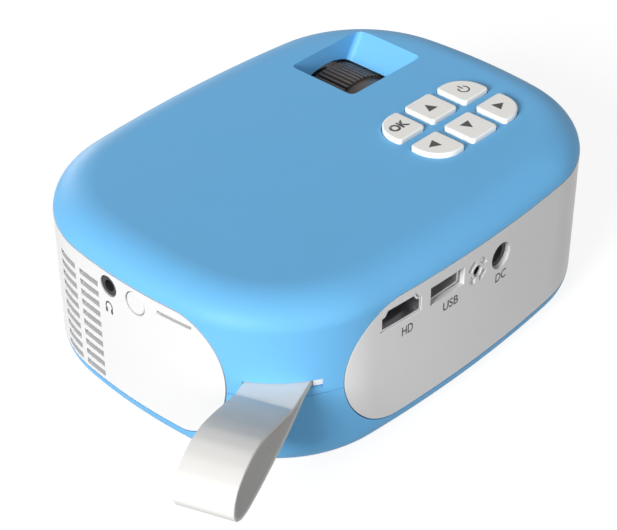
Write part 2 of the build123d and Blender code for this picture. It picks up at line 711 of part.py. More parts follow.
def lower_shell():
    high = SEAM_Z - SEAM_GAP / 2
    shell = shell_walls() & block(-REACH, REACH, -REACH, REACH, -REACH, high)
    shell += tongue()
    inside = body_block(SKIN_T / 2)
    base = SKIN_T / 2
    shell += [rod_z(CASE_POST_R, x, y, base, high) & inside for x, y in CASE_POSTS]
    shell += [rod_z(BOARD_POST_R, x, y, base, DRIVER_Z) for x, y in driver_posts()]
    shell += supports()
    shell += rod_z(INSERT_R + SKIN_T, 0, 0, base, TRIPOD_DEEP + INSERT_CAP_T)
    shell -= rod_z(INSERT_R, 0, 0, -OVER, TRIPOD_DEEP)
    shell -= [rod_z(SCREW_R + FIT, x, y, -OVER, SEAM_Z) for x, y in CASE_POSTS]
    shell -= [rod_z(SCREW_HEAD_R + FIT, x, y, -OVER, SEAM_Z - SCREW_GRIP) for x, y in CASE_POSTS]
    shell -= [rod_z(PILOT_R, x, y, SKIN_T, DRIVER_Z) for x, y in driver_posts()]
    shell -= [rod_z(FOOT_R + SEAT_FIT, x, y, -OVER, FOOT_SEAT) for x, y in foot_places()]
    lip = ring_slab(SKIN_T - FIT, ROOM_IN, VENT_LOW_Z - VENT_H, VENT_LOW_Z + VENT_H)
    shell -= [cut & lip for cut in louvre_row(VENT_LOW_Z)]
    return shell - under_slots()


# ---------------------------------------------------------------- strap
def strap_frame():
    """Direction of the strap in plan, and across it towards +Y."""
    a = radians(STRAP_ANGLE)
    return (cos(a), sin(a)), (-sin(a), cos(a))


def strap_place(out, across, z=0.0):
    """Point this far out along the strap and across it from its +Y edge."""
    (ux, uy), (nx, ny) = strap_frame()
    return STRAP_EDGE_X + ux * out + nx * across, STRAP_EDGE_Y + uy * out + ny * across, z


def strap_box(out0, out1, across0, across1, z0, z1):
    middle = strap_place((out0 + out1) / 2, (across0 + across1) / 2, (z0 + z1) / 2)
    return Location(middle, (0, 0, STRAP_ANGLE)) * Box(out1 - out0, across1 - across0, z1 - z0)


def strap_slot():
    return strap_box(SLOT_SIDE_GAP - ANCHOR_IN - ANCHOR_L / 2, REACH / 4, -STRAP_W - SLOT_NEAR_GAP,
                     SLOT_SIDE_GAP, SLOT_BASE_Z, SLOT_TOP_Z)


def beside(edge, out):
    """Curve that keeps this far to the left of the edge."""
    places = [i / STRAP_STEPS for i in range(STRAP_STEPS + 1)]
    points = [((edge @ at).X - (edge % at).Y * out, (edge @ at).Y + (edge % at).X * out) for at in places]
    return Spline(*points, tangents=[edge % 0, edge % 1])


def strap_section():
    """The strap seen from its edge, drawn as (out, up): out on top, round the nose, back below."""
    half = STRAP_T / 2
    top = STRAP_TOP_Z - half
    low = top - STRAP_T - STRAP_FOLD_GAP
    points = [(out, top + up) for out, up in STRAP_NOSE]
    nose = Spline((STRAP_FLAT, top), *points, (STRAP_LOW_FLAT, low), tangents=[(1, 0), (-1, 0)])
    edges = []
    for side in (half, -half):
        edges += [Line((-ANCHOR_IN, top + side), (STRAP_FLAT, top + side)), beside(nose, side),
                  Line((STRAP_LOW_FLAT, low - side), (-ANCHOR_IN, low - side))]
    edges += [Line((-ANCHOR_IN, z - half), (-ANCHOR_IN, z + half)) for z in (top, low)]
    return make_face(Curve() + edges)


def strap():
    """One loop of soft band; its two ends meet the anchor inside the corner."""
    (ux, uy), (nx, ny) = strap_frame()
    side = Plane(origin=strap_place(0, 0), x_dir=(ux, uy, 0), z_dir=(-nx, -ny, 0))
    return side * extrude(strap_section(), STRAP_W)


def strap_anchor():
    """White block that clamps the strap's ends; its tab fills the open end of the slot."""
    block_in = strap_box(-ANCHOR_IN - ANCHOR_L, -ANCHOR_IN, -STRAP_W - SLOT_NEAR_GAP, SLOT_SIDE_GAP,
                         ANCHOR_BASE_Z, ANCHOR_BASE_Z + ANCHOR_H)
    tab = strap_box(-ANCHOR_IN - OVER, ANCHOR_IN, FIT, SLOT_SIDE_GAP - FIT,
                    SLOT_BASE_Z + FIT, SLOT_TOP_Z - FIT)
    return block_in + (tab & slab(ANCHOR_TAB_BACK, 0, BODY_H))


# ---------------------------------------------------------------- keys
def key(x, y, corner):
    """Cap, flange under the roof, and stem."""
    top = BODY_H + KEY_PROUD
    cap = extrude(Pos(x, y, KEY_LIP_Z) * key_face(corner), top - KEY_LIP_Z)
    cap = fillet(cap.faces().sort_by(Axis.Z)[-1].edges(), KEY_EDGE)
    lip = extrude(Pos(x, y, KEY_LIP_Z) * key_face(corner, KEY_GAP + KEY_LIP), KEY_LIP_T)
    return cap + lip + rod_z(KEY_STEM_R, x, y, KEY_STEM_Z, KEY_LIP_Z)


def key_switches():
    switches = []
    for _, x, y, _ in key_places():
        half = SWITCH_S / 2
        base = KEY_BOARD_TOP_Z
        body = block(x - half, x + half, y - half, y + half, base, base + SWITCH_T)
        switches.append(body + rod_z(PLUNGER_R, x, y, base + SWITCH_T / 2, PLUNGER_Z))
    return Compound(children=switches)


def key_board():
    x0, x1, y0, y1 = key_board_size()
    board = block(x0, x1, y0, y1, KEY_BOARD_Z, KEY_BOARD_TOP_Z)
    low = KEY_BOARD_Z - OVER
    return board - [rod_z(PILOT_R, x, y, low, KEY_BOARD_TOP_Z + OVER) for x, y in key_posts()]


BUTTON_X = wall_x(BUTTON_Y)
BUTTON_LIP_X = side_face(BUTTON_Y, 2 * (BUTTON_R + BUTTON_LIP), BAND_T) - RUN - BUTTON_LIP_T
BUTTON_SWITCH_X = BUTTON_LIP_X - BUTTON_TRAVEL - KEY_REST_GAP


def side_button():
    cap = rod_x(BUTTON_R, BUTTON_Y, BUTTON_Z, BUTTON_LIP_X, BUTTON_X)
    cap = fillet(cap.faces().sort_by(Axis.X)[-1].edges(), KEY_EDGE)
    lip = rod_x(BUTTON_R + BUTTON_LIP, BUTTON_Y, BUTTON_Z, BUTTON_LIP_X, BUTTON_LIP_X + BUTTON_LIP_T)
    return cap + lip


def side_switch():
    half = SWITCH_S / 2
    x1 = BUTTON_SWITCH_X - PLUNGER_H
    body = block(x1 - SWITCH_S, x1, BUTTON_Y - half, BUTTON_Y + half, BUTTON_Z - half, BOARD_UNDER_Z)
    return body + rod_x(PLUNGER_R, BUTTON_Y, BUTTON_Z, x1 - PLUNGER_H, BUTTON_SWITCH_X)


# ---------------------------------------------------------------- lens
def ribbed_face():
    """Section of the focus ring where it is ribbed: grooves all round a disc."""
    pitch = 360 / RIB_COUNT
    width = 2 * RING_R * sin(radians(pitch / 2)) * RIB_GROOVE_SHARE
    cuts = [Rot(0, 0, i * pitch) * Pos(RING_R, 0) * Rectangle(2 * RIB_DEEP, width)
            for i in range(RIB_COUNT)]
    return Circle(RING_R) - cuts


def focus_ring():
    ribs = along_y(Pos(LENS_X, LENS_Z) * ribbed_face(), RING_FRONT_Y, RING_RIB_END_Y)
    ring = ribs + lens_rod(RING_SMOOTH_R, RING_RIB_END_Y, RING_BACK_Y)
    return ring - lens_rod(RING_BORE_R, RING_FRONT_Y - OVER, RING_BACK_Y + OVER)


def ring_clip():
    """Split ring that keeps the focus ring on its mount."""
    y0 = RING_FRONT_Y - RUN - CLIP_T
    clip = lens_tube(MOUNT_R + CLIP_DEEP, MOUNT_R + SEAT_FIT, y0, y0 + CLIP_T)
    gap = block(LENS_X - CLIP_DEEP, LENS_X + CLIP_DEEP, y0 - OVER, y0 + CLIP_T + OVER, 0, LENS_Z)
    return clip - gap


def lens_mount():
    """Fixed tube that carries the ring outside and the barrel inside, with a square flange."""
    half = MOUNT_FLANGE_S / 2
    mount = lens_rod(MOUNT_R, MOUNT_FRONT_Y, ENGINE_FRONT_Y)
    mount += block(LENS_X - half, LENS_X + half, RING_BACK_Y + RUN, ENGINE_FRONT_Y,
                   LENS_Z - half, LENS_Z + half)
    return mount - lens_rod(MOUNT_BORE_R, MOUNT_FRONT_Y - OVER, ENGINE_FRONT_Y + OVER)


def lens_barrel():
    barrel = lens_rod(BARREL_R, BARREL_FRONT_Y, BARREL_BACK_Y)
    barrel -= lens_rod(BARREL_BORE_R, BARREL_FRONT_Y - OVER, BARREL_STEP_Y)
    return barrel - lens_rod(BARREL_REAR_BORE_R, BARREL_STEP_Y - OVER, BARREL_BACK_Y + OVER)


def lens(radius, y, thick):
    """Lens of this thickness at its middle, thinner at its rim."""
    half = thick / 2
    rim = LENS_RIM_T / 2
    sag = half - rim
    bow = (radius ** 2 + sag ** 2) / (2 * sag)
    part_way = radius / 2
    drop = bow - sqrt(bow ** 2 - part_way ** 2)
    section = make_face(Curve() + [
        Line((0, -half), (0, half)),
        ThreePointArc((0, half), (part_way, half - drop), (radius, rim)),
        Line((radius, rim), (radius, -rim)),
        ThreePointArc((radius, -rim), (part_way, drop - half), (0, -half))])
    return Pos(LENS_X, y, LENS_Z) * revolve(section, Axis.Y)


def lens_bezel():
    """Ring in the band round the lens, its front face following the body."""
    tube = lens_tube(BEZEL_R, BEZEL_BORE_R, -REACH, BEZEL_BACK_Y)
    return tube & slab(-BEZEL_PROUD, 0, BODY_H)


# ---------------------------------------------------------------- light engine
def engine_case():
    half_l = ENGINE_L / 2
    room_l = ENGINE_ROOM_L / 2
    room_h = ENGINE_ROOM_H / 2
    led_half = LED_BOARD_S / 2 + FIT
    case = block(LENS_X - half_l, LENS_X + half_l, ENGINE_FRONT_Y, ENGINE_BACK_Y,
                 ENGINE_BASE_Z, ENGINE_BASE_Z + ENGINE_H)
    case -= block(LENS_X - room_l, LENS_X + room_l, ENGINE_FRONT_Y + ENGINE_T, ENGINE_BACK_Y - ENGINE_T,
                  LENS_Z - room_h, LENS_Z + room_h)
    case -= lens_rod(ENGINE_PORT_R, ENGINE_FRONT_Y - OVER, ENGINE_FRONT_Y + 2 * ENGINE_T)
    case -= block(LENS_X - led_half, LENS_X + led_half, ENGINE_BACK_Y - 2 * ENGINE_T,
                  ENGINE_BACK_Y + OVER, LENS_Z - led_half, LENS_Z + led_half)
    slot = FLEX_W / 2 + FIT
    return case - block(LENS_X - slot, LENS_X + slot, LCD_Y - LCD_T, LCD_Y + LCD_T, LENS_Z, ROOF_Z)


def pane(y, thick):
    """Flat plate that fills the engine's section."""
    half_l = ENGINE_ROOM_L / 2 - PANE_FIT
    half_h = ENGINE_ROOM_H / 2 - PANE_FIT
    return block(LENS_X - half_l, LENS_X + half_l, y - thick / 2, y + thick / 2,
                 LENS_Z - half_h, LENS_Z + half_h)


def condenser_holder():
    return pane(CONDENSER_Y, HOLDER_T) - lens_rod(CONDENSER_R + PANE_FIT, CONDENSER_Y - HOLDER_T,
                                                  CONDENSER_Y + HOLDER_T)


def led_board():
    half = LED_BOARD_S / 2
    return block(LENS_X - half, LENS_X + half, ENGINE_BACK_Y - LED_BOARD_T, ENGINE_BACK_Y,
                 LENS_Z - half, LENS_Z + half)


def led_emitter():
    half = LED_S / 2
    y1 = ENGINE_BACK_Y - LED_BOARD_T
    return block(LENS_X - half, LENS_X + half, y1 - LED_T, y1, LENS_Z - half, LENS_Z + half)


def heat_sink():
    half = SINK_L / 2
    low = LENS_Z - ENGINE_H / 2
    high = LENS_Z + ENGINE_H / 2
    sink = block(LENS_X - half, LENS_X + half, ENGINE_BACK_Y, SINK_Y, low, high)
    pitch = (SINK_L - SINK_FIN_T) / (SINK_FINS - 1)
    for i in range(SINK_FINS):
        x = LENS_X - half + i * pitch
        sink += block(x, x + SINK_FIN_T, SINK_Y, SINK_Y + SINK_FIN_H, low, high)
    return sink


def fan_frame():
    half = FAN_S / 2
    y0 = FAN_Y - FAN_T / 2
    y1 = FAN_Y + FAN_T / 2
    frame = block(FAN_X - half, FAN_X + half, y0, y1, FAN_Z - half, FAN_Z + half)
    frame -= rod_y(FAN_BORE_R, FAN_X, FAN_Z, y0 - OVER, y1 + OVER)
    spoke = Pos(FAN_X, y1 - FAN_SPOKE_T / 2, FAN_Z)
    for turn in FAN_SPOKE_TURNS:
        frame += spoke * Rot(0, turn, 0) * Box(2 * FAN_BORE_R + OVER, FAN_SPOKE_T, FAN_SPOKE_W)
    frame += rod_y(FAN_HUB_R, FAN_X, FAN_Z, y1 - FAN_SPOKE_T, y1)
    return frame + rod_y(FAN_SHAFT_R, FAN_X, FAN_Z, HUB_FRONT_Y + FAN_SPOKE_T + RUN, y1)


def fan_rotor():
    """Hub with a bore for the frame's shaft, and tilted blades."""
    y0 = HUB_FRONT_Y
    y1 = HUB_FRONT_Y + FAN_HUB_T
    tip = FAN_BORE_R - 2 * RUN
    wide = FAN_HUB_T / cos(radians(FAN_BLADE_TILT)) - 2 * FAN_BLADE_T
    rotor = rod_y(FAN_HUB_R, FAN_X, FAN_Z, y0, y1)
    for i in range(FAN_BLADES):
        blade = Pos((FAN_HUB_R + tip) / 2, 0, 0) * Rot(FAN_BLADE_TILT, 0, 0)
        blade *= Box(tip - FAN_HUB_R + OVER, wide, FAN_BLADE_T)
        rotor += Pos(FAN_X, (y0 + y1) / 2, FAN_Z) * Rot(0, 360 / FAN_BLADES * i, 0) * blade
    rotor &= rod_y(tip, FAN_X, FAN_Z, y0, y1)
    return rotor - rod_y(FAN_SHAFT_R + FAN_SHAFT_FIT, FAN_X, FAN_Z, y0 + FAN_SPOKE_T, y1 + OVER)


# ---------------------------------------------------------------- boards and sockets
def main_board():
    inset = ROOM_IN + BOARD_WALL_GAP
    area = block(BOARD_REAR_X, REACH, BOARD_REAR_Y, REACH, BOARD_UNDER_Z, BOARD_TOP_Z)
    area += block(BOARD_MAIN_X, REACH, BOARD_MAIN_Y, REACH, BOARD_UNDER_Z, BOARD_TOP_Z)
    board = slab(inset, BOARD_UNDER_Z, BOARD_TOP_Z) & area
    low = BOARD_UNDER_Z - OVER
    board -= [rod_z(CASE_POST_R + BOARD_WALL_GAP, x, y, low, ROOF_Z) for x, y in CASE_POSTS]
    return board - [rod_z(PILOT_R, x, y, low, ROOF_Z) for x, y in board_posts()]


def main_chip():
    half = CHIP_S / 2
    return block(CHIP_X - half, CHIP_X + half, CHIP_Y - half, CHIP_Y + half,
                 BOARD_UNDER_Z - CHIP_T, BOARD_UNDER_Z)


def chip_sink():
    half = CHIP_SINK_S / 2
    top = BOARD_UNDER_Z - CHIP_T
    base = top - CHIP_SINK_T
    sink = block(CHIP_X - half, CHIP_X + half, CHIP_Y - half, CHIP_Y + half, base, top)
    count = int(CHIP_SINK_S / (2 * SINK_FIN_T))
    for i in range(count - 1):
        x = CHIP_X - half + (2 * i + 1) * SINK_FIN_T
        sink -= block(x, x + SINK_FIN_T, CHIP_Y - CHIP_SINK_S, CHIP_Y + CHIP_SINK_S,
                      base - OVER, top - SINK_FIN_T)
    return sink


def lcd_flex():
    """Flat ribbon: up out of the engine at the panel, then along under the main board."""
    half = FLEX_W / 2
    panel_top = LENS_Z + ENGINE_ROOM_H / 2 - PANE_FIT
    leg = block(LENS_X - half, LENS_X + half, LCD_Y - FLEX_T / 2, LCD_Y + FLEX_T / 2,
                panel_top, BOARD_UNDER_Z)
    run = block(LENS_X - half, BOARD_MAIN_X + half, LCD_Y - half, LCD_Y + half,
                BOARD_UNDER_Z - FLEX_T, BOARD_UNDER_Z)
    return leg + run


def hd_socket():
    front = rear_face(HD_X, HD_W + 2 * SOCKET_T, SOCKET_SET_BACK)
    shell = along_y(hd_outline(SOCKET_T), front - HD_DEEP, HALF_W) & slab(SOCKET_SET_BACK, 0, BODY_H)
    shell -= along_y(hd_outline(), front - HD_DEEP + SOCKET_T, HALF_W + OVER)
    middle = (HD_BASE_Z + HD_TOP_Z) / 2
    half = HD_TOP_W / 2 + SOCKET_T
    shell += block(HD_X - half, HD_X + half, front - HD_DEEP, front - 2 * SOCKET_T - BAND_T,
                   middle - SOCKET_T, middle + SOCKET_T)
    half -= BOARD_WALL_GAP
    return shell + block(HD_X - half, HD_X + half, front - HD_DEEP, front - BAND_T - BOARD_WALL_GAP,
                         HD_TOP_Z + SOCKET_T / 2, BOARD_UNDER_Z)


def usb_socket():
    front = rear_face(USB_X, USB_CUT_W + 2 * SOCKET_T, BAND_T + FIT / 2)
    half = USB_CUT_W / 2 + SOCKET_T
    high = USB_CUT_H / 2 + SOCKET_T
    body = block(USB_X - half, USB_X + half, front - USB_DEEP, front, USB_Z - high, USB_Z + high)
    half = USB_W / 2
    high = USB_H / 2
    body -= block(USB_X - half, USB_X + half, front - USB_DEEP + SOCKET_BACK_T, front + OVER,
                  USB_Z - high, USB_Z + high)
    body += block(USB_X - USB_TONGUE_W / 2, USB_X + USB_TONGUE_W / 2, front - USB_DEEP,
                  front - USB_TONGUE_BACK, USB_Z + high / 4, USB_Z + high * 3 / 4)
    top = USB_Z + USB_CUT_H / 2 + SOCKET_T / 2
    return body + block(USB_X - half, USB_X + half, front - USB_DEEP, front - BOARD_WALL_GAP, top,
                        BOARD_UNDER_Z)


def av_socket():
    front = rear_face(AV_X, AV_BODY_W + 2 * FIT, AV_FACE_T + FIT / 2)
    half = AV_BODY_W / 2
    body = block(AV_X - half, AV_X + half, front - AV_DEEP, front, AV_Z - half, BOARD_UNDER_Z)
    return body - rod_y(AV_BORE_R, AV_X, AV_Z, front - AV_DEEP + SOCKET_BACK_T, front + OVER)


def dc_socket():
    front = rear_face(DC_X, DC_BODY_W, BAND_T + FIT / 2)
    half = DC_BODY_W / 2
    body = block(DC_X - half, DC_X + half, front - DC_DEEP, front, DC_Z - half, BOARD_UNDER_Z)
    body -= rod_y(DC_BORE_R, DC_X, DC_Z, front - DC_DEEP + 2 * SOCKET_BACK_T, front + OVER)
    return body + rod_y(DC_PIN_R, DC_X, DC_Z, front - DC_DEEP + SOCKET_BACK_T, front - DC_PIN_BACK)


def headphone_jack():
    back = side_face(JACK_Y, JACK_BODY_W, BAND_T + FIT / 2)
    front = side_face(JACK_Y, 2 * JACK_NOSE_R, SOCKET_SET_BACK)
    half = JACK_BODY_W / 2
    body = block(back - JACK_DEEP, back, JACK_Y - half, JACK_Y + half, JACK_Z - half, BOARD_UNDER_Z)
    body += rod_x(JACK_NOSE_R, JACK_Y, JACK_Z, back - OVER, front)
    bore_end = back - JACK_DEEP + SOCKET_BACK_T
    return body - rod_x(JACK_BORE_R, JACK_Y, JACK_Z, bore_end, front + OVER)


def card_socket():
    front = side_face(CARD_Y, CARD_BODY_W, BAND_T + FIT / 2)
    half = CARD_BODY_W / 2
    body = block(front - CARD_DEEP, front, CARD_Y - half, CARD_Y + half,
                 CARD_Z - CARD_BODY_H / 2, BOARD_UNDER_Z)
    half = CARD_SLOT_W / 2
    return body - block(front - CARD_DEEP + SOCKET_BACK_T, front + OVER, CARD_Y - half, CARD_Y + half,
                        CARD_Z - CARD_SLOT_H / 2, CARD_Z + CARD_SLOT_H / 2)


def driver_board():
    half_l = DRIVER_L / 2
    half_w = DRIVER_W / 2
    top = DRIVER_Z + DRIVER_BOARD_T
    board = block(DRIVER_X - half_l, DRIVER_X + half_l, DRIVER_Y - half_w, DRIVER_Y + half_w,
                  DRIVER_Z, top)
    low = DRIVER_Z - OVER
    return board - [rod_z(PILOT_R, x, y, low, top + OVER) for x, y in driver_posts()]


def power_coil():
    base = DRIVER_Z + DRIVER_BOARD_T
    x = DRIVER_X - DRIVER_L / 4
    coil = rod_z(COIL_R, x, DRIVER_Y, base, base + COIL_H)
    return coil - rod_z(COIL_BORE_R, x, DRIVER_Y, base - OVER, base + COIL_H + OVER)


def capacitors():
    base = DRIVER_Z + DRIVER_BOARD_T
    return Compound(children=[rod_z(CAN_R, DRIVER_X + x, DRIVER_Y, base, base + CAN_H)
                              for x in CAN_PLACES])


# ---------------------------------------------------------------- speaker
def speaker_basket():
    half = SPEAKER_S / 2
    rim = block(SPEAKER_X - SPEAKER_RIM_T, SPEAKER_X, SPEAKER_Y - half, SPEAKER_Y + half,
                SPEAKER_Z - half, SPEAKER_Z + half)
    cup = rod_x(CONE_R + SPEAKER_RIM_T, SPEAKER_Y, SPEAKER_Z, MAGNET_X, SPEAKER_X)
    return rim + cup - rod_x(CONE_R, SPEAKER_Y, SPEAKER_Z, MAGNET_X + SPEAKER_RIM_T, SPEAKER_X + OVER)


def speaker_cone():
    deep = SPEAKER_DEEP - 2 * SPEAKER_RIM_T
    place = Pos(SPEAKER_X - deep / 2, SPEAKER_Y, SPEAKER_Z) * Rot(0, 90, 0)
    rim_r = CONE_R - PANE_FIT
    return place * Cone(CONE_HUB_R, rim_r, deep) - place * Pos(0, 0, CONE_T) * Cone(
        CONE_HUB_R - CONE_T, rim_r - CONE_T, deep)


def speaker_magnet():
    return rod_x(MAGNET_R, SPEAKER_Y, SPEAKER_Z, MAGNET_X - MAGNET_T, MAGNET_X)


# ---------------------------------------------------------------- leads and fasteners
def leads():
    """Ends of each lead, just clear of the pieces it joins, with its hand-placed bends between."""
    magnet_back = MAGNET_X - MAGNET_T - LEAD_END_GAP
    fan_side = FAN_X + FAN_S / 2 + LEAD_END_GAP
    engine_side = LENS_X + ENGINE_L / 2 + LEAD_END_GAP
    board = BOARD_UNDER_Z - LEAD_END_GAP
    driver = DRIVER_Z + DRIVER_BOARD_T + LEAD_END_GAP
    ends = {"speaker_lead": (magnet_back, SPEAKER_LEAD, board), "fan_lead": (fan_side, FAN_LEAD, board),
            "led_lead": (engine_side, LED_LEAD, driver)}
    return {name: lead((x, bends[0][1], bends[0][2]), *bends, (*bends[-1][:2], z))
            for name, (x, bends, z) in ends.items()}


def lead(*points):
    """Round wire along these points."""
    path = FilletPolyline(*points, radius=LEAD_BEND_R)
    start = Plane(origin=path @ 0, z_dir=path % 0)
    return sweep(start * Circle(LEAD_R), path)


def screw_up(x, y, z, length):
    """Screw whose head is under z and whose shank points up."""
    return rod_z(SCREW_HEAD_R, x, y, z - SCREW_HEAD_H, z) + rod_z(SCREW_R, x, y, z, z + length)


def board_screws():
    screws = [screw_up(x, y, BOARD_UNDER_Z, SCREW_LEN) for x, y in board_posts()]
    screws += [screw_up(x, y, KEY_BOARD_Z, SCREW_LEN) for x, y in key_posts()]
    top = DRIVER_Z + DRIVER_BOARD_T
    for x, y in driver_posts():
        head = rod_z(SCREW_HEAD_R, x, y, top, top + SCREW_HEAD_H)
        screws.append(head + rod_z(SCREW_R, x, y, top - SCREW_LEN, top))
    return Compound(children=screws)


def case_screws():
    z = SEAM_Z - SCREW_GRIP
    return Compound(children=[screw_up(x, y, z, CASE_SCREW_LEN) for x, y in CASE_POSTS])


def tripod_insert():
    insert = rod_z(INSERT_R - SEAT_FIT, 0, 0, 0, TRIPOD_DEEP)
    return insert - rod_z(TRIPOD_R, 0, 0, -OVER, TRIPOD_DEEP + OVER)


def foot(x, y):
    pad = rod_z(FOOT_R, x, y, -FOOT_H, FOOT_SEAT)
    return chamfer(pad.faces().sort_by(Axis.Z)[0].edges(), FOOT_EDGE)


# ---------------------------------------------------------------- every piece
def pieces():
    nodes = {
        "upper_shell": upper_shell(), "lower_shell": lower_shell(), "side_band": side_band(),
        "key_board": key_board(), "key_switches": key_switches(),
        "side_button": side_button(), "side_switch": side_switch(),
        "focus_ring": focus_ring(), "ring_clip": ring_clip(), "lens_mount": lens_mount(),
        "lens_barrel": lens_barrel(), "lens_bezel": lens_bezel(),
        "front_lens": lens(BARREL_BORE_R - PANE_FIT / 2, FRONT_LENS_Y, FRONT_LENS_T),
        "middle_lens": lens(BARREL_REAR_BORE_R - PANE_FIT / 2, MIDDLE_LENS_Y, REAR_LENS_T),
        "rear_lens": lens(BARREL_REAR_BORE_R - PANE_FIT / 2, REAR_LENS_Y, REAR_LENS_T),
        "engine_case": engine_case(), "lcd_panel": pane(LCD_Y, LCD_T),
        "field_lens": pane(FIELD_Y, FIELD_T), "heat_glass": pane(HEAT_GLASS_Y, HEAT_GLASS_T),
        "condenser_lens": lens(CONDENSER_R, CONDENSER_Y, CONDENSER_T),
        "condenser_holder": condenser_holder(), "led_board": led_board(),
        "led_emitter": led_emitter(), "heat_sink": heat_sink(),
        "fan_frame": fan_frame(), "fan_rotor": fan_rotor(),
        "main_board": main_board(), "main_chip": main_chip(), "chip_sink": chip_sink(),
        "lcd_flex": lcd_flex(), "hd_socket": hd_socket(), "usb_socket": usb_socket(),
        "av_socket": av_socket(), "dc_socket": dc_socket(), "headphone_jack": headphone_jack(),
        "card_socket": card_socket(), "driver_board": driver_board(), "power_coil": power_coil(),
        "capacitors": capacitors(), "speaker_basket": speaker_basket(),
        "speaker_cone": speaker_cone(), "speaker_magnet": speaker_magnet(),
        "strap": strap(), "strap_anchor": strap_anchor(), "board_screws": board_screws(),
        "case_screws": case_screws(), "tripod_insert": tripod_insert(),
    }
    nodes.update(leads())
    for name, x, y, corner in key_places():
        nodes[name] = key(x, y, corner)
    for i, (x, y) in enumerate(foot_places()):
        nodes[f"foot_{i + 1}"] = foot(x, y)
    return nodes


os.makedirs("parts", exist_ok=True)
for node, solid in pieces().items():
    export_step(solid, f"parts/{node}.step")
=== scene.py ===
"""A palm-sized media projector: blue case, white side band, six keys, focus window and wrist strap."""

import math

import bpy
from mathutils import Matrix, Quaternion, Vector


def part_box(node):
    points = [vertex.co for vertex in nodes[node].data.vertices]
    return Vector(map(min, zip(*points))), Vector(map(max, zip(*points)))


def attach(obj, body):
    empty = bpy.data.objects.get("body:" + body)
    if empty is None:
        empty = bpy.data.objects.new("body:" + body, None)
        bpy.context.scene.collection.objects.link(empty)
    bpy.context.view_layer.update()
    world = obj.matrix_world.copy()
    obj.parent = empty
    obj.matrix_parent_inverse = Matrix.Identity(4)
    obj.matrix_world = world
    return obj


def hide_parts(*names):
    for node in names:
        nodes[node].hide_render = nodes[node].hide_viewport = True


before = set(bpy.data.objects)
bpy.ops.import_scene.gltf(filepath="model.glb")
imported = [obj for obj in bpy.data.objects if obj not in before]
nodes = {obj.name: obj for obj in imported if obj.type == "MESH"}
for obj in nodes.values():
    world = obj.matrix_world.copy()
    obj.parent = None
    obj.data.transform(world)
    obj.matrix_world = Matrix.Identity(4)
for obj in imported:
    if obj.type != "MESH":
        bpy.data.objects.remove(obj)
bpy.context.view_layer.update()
MM = 0.001

# ---------------------------------------------------------------- lower shell
# The tray of the case: blue ABS, injection moulded against a finely blasted tool,
# so its skin has a satin gloss with a very fine grain.
SHELL_BLUE = (0.160, 0.484, 0.836)
NOISE_LOW = 0.35            # most of a noise lies between these two
NOISE_HIGH = 0.65


def new_group(name, inputs, outputs):
    """An empty shader group with these float inputs and outputs."""
    group = bpy.data.node_groups.new(name, "ShaderNodeTree")
    for title, value in inputs:
        socket = group.interface.new_socket(title, in_out="INPUT", socket_type="NodeSocketFloat")
        socket.default_value = value
    for title in outputs:
        group.interface.new_socket(title, in_out="OUTPUT", socket_type="NodeSocketFloat")
    enter = group.nodes.new("NodeGroupInput")
    leave = group.nodes.new("NodeGroupOutput")
    return group, enter, leave


def noise(tree, place, detail):
    node = tree.nodes.new("ShaderNodeTexNoise")
    node.inputs["Detail"].default_value = detail
    tree.links.new(place, node.inputs["Vector"])
    return node


def build_moulded_skin():
    """Grain, gloss and slight shade of a moulded surface, from the piece's own coordinates."""
    group, enter, leave = new_group(
        "moulded_skin",
        [("Grain", 2600.0), ("Clouds", 45.0), ("Gloss Low", 0.3), ("Gloss High", 0.4)],
        ["Height", "Roughness", "Shade"])
    place = group.nodes.new("ShaderNodeTexCoord").outputs["Object"]
    grain = noise(group, place, 3.0)
    clouds = noise(group, place, 4.0)
    group.links.new(enter.outputs["Grain"], grain.inputs["Scale"])
    group.links.new(enter.outputs["Clouds"], clouds.inputs["Scale"])
    gloss = group.nodes.new("ShaderNodeMapRange")
    gloss.inputs["From Min"].default_value = NOISE_LOW
    gloss.inputs["From Max"].default_value = NOISE_HIGH
    group.links.new(clouds.outputs["Fac"], gloss.inputs["Value"])
    group.links.new(enter.outputs["Gloss Low"], gloss.inputs["To Min"])
    group.links.new(enter.outputs["Gloss High"], gloss.inputs["To Max"])
    group.links.new(grain.outputs["Fac"], leave.inputs["Height"])
    group.links.new(gloss.outputs["Result"], leave.inputs["Roughness"])
    group.links.new(clouds.outputs["Fac"], leave.inputs["Shade"])
    return group


moulded_skin = build_moulded_skin()


def mixed_colour(tree, mask, first, second):
    """Colour that runs from the first to the second as the mask goes from 0 to 1."""
    mix = tree.nodes.new("ShaderNodeMix")
    mix.data_type = "RGBA"
    mix.inputs["A"].default_value = (*first, 1.0)
    mix.inputs["B"].default_value = (*second, 1.0)
    tree.links.new(mask, mix.inputs["Factor"])
    return mix.outputs["Result"]


def bumped(tree, height, depth, strength=1.0):
    bump = tree.nodes.new("ShaderNodeBump")
    bump.inputs["Distance"].default_value = depth
    bump.inputs["Strength"].default_value = strength
    tree.links.new(height, bump.inputs["Height"])
    return bump.outputs["Normal"]


def new_material(name):
    material = bpy.data.materials.new(name)
    material.use_nodes = True
    tree = material.node_tree
    return material, tree, tree.nodes["Principled BSDF"]


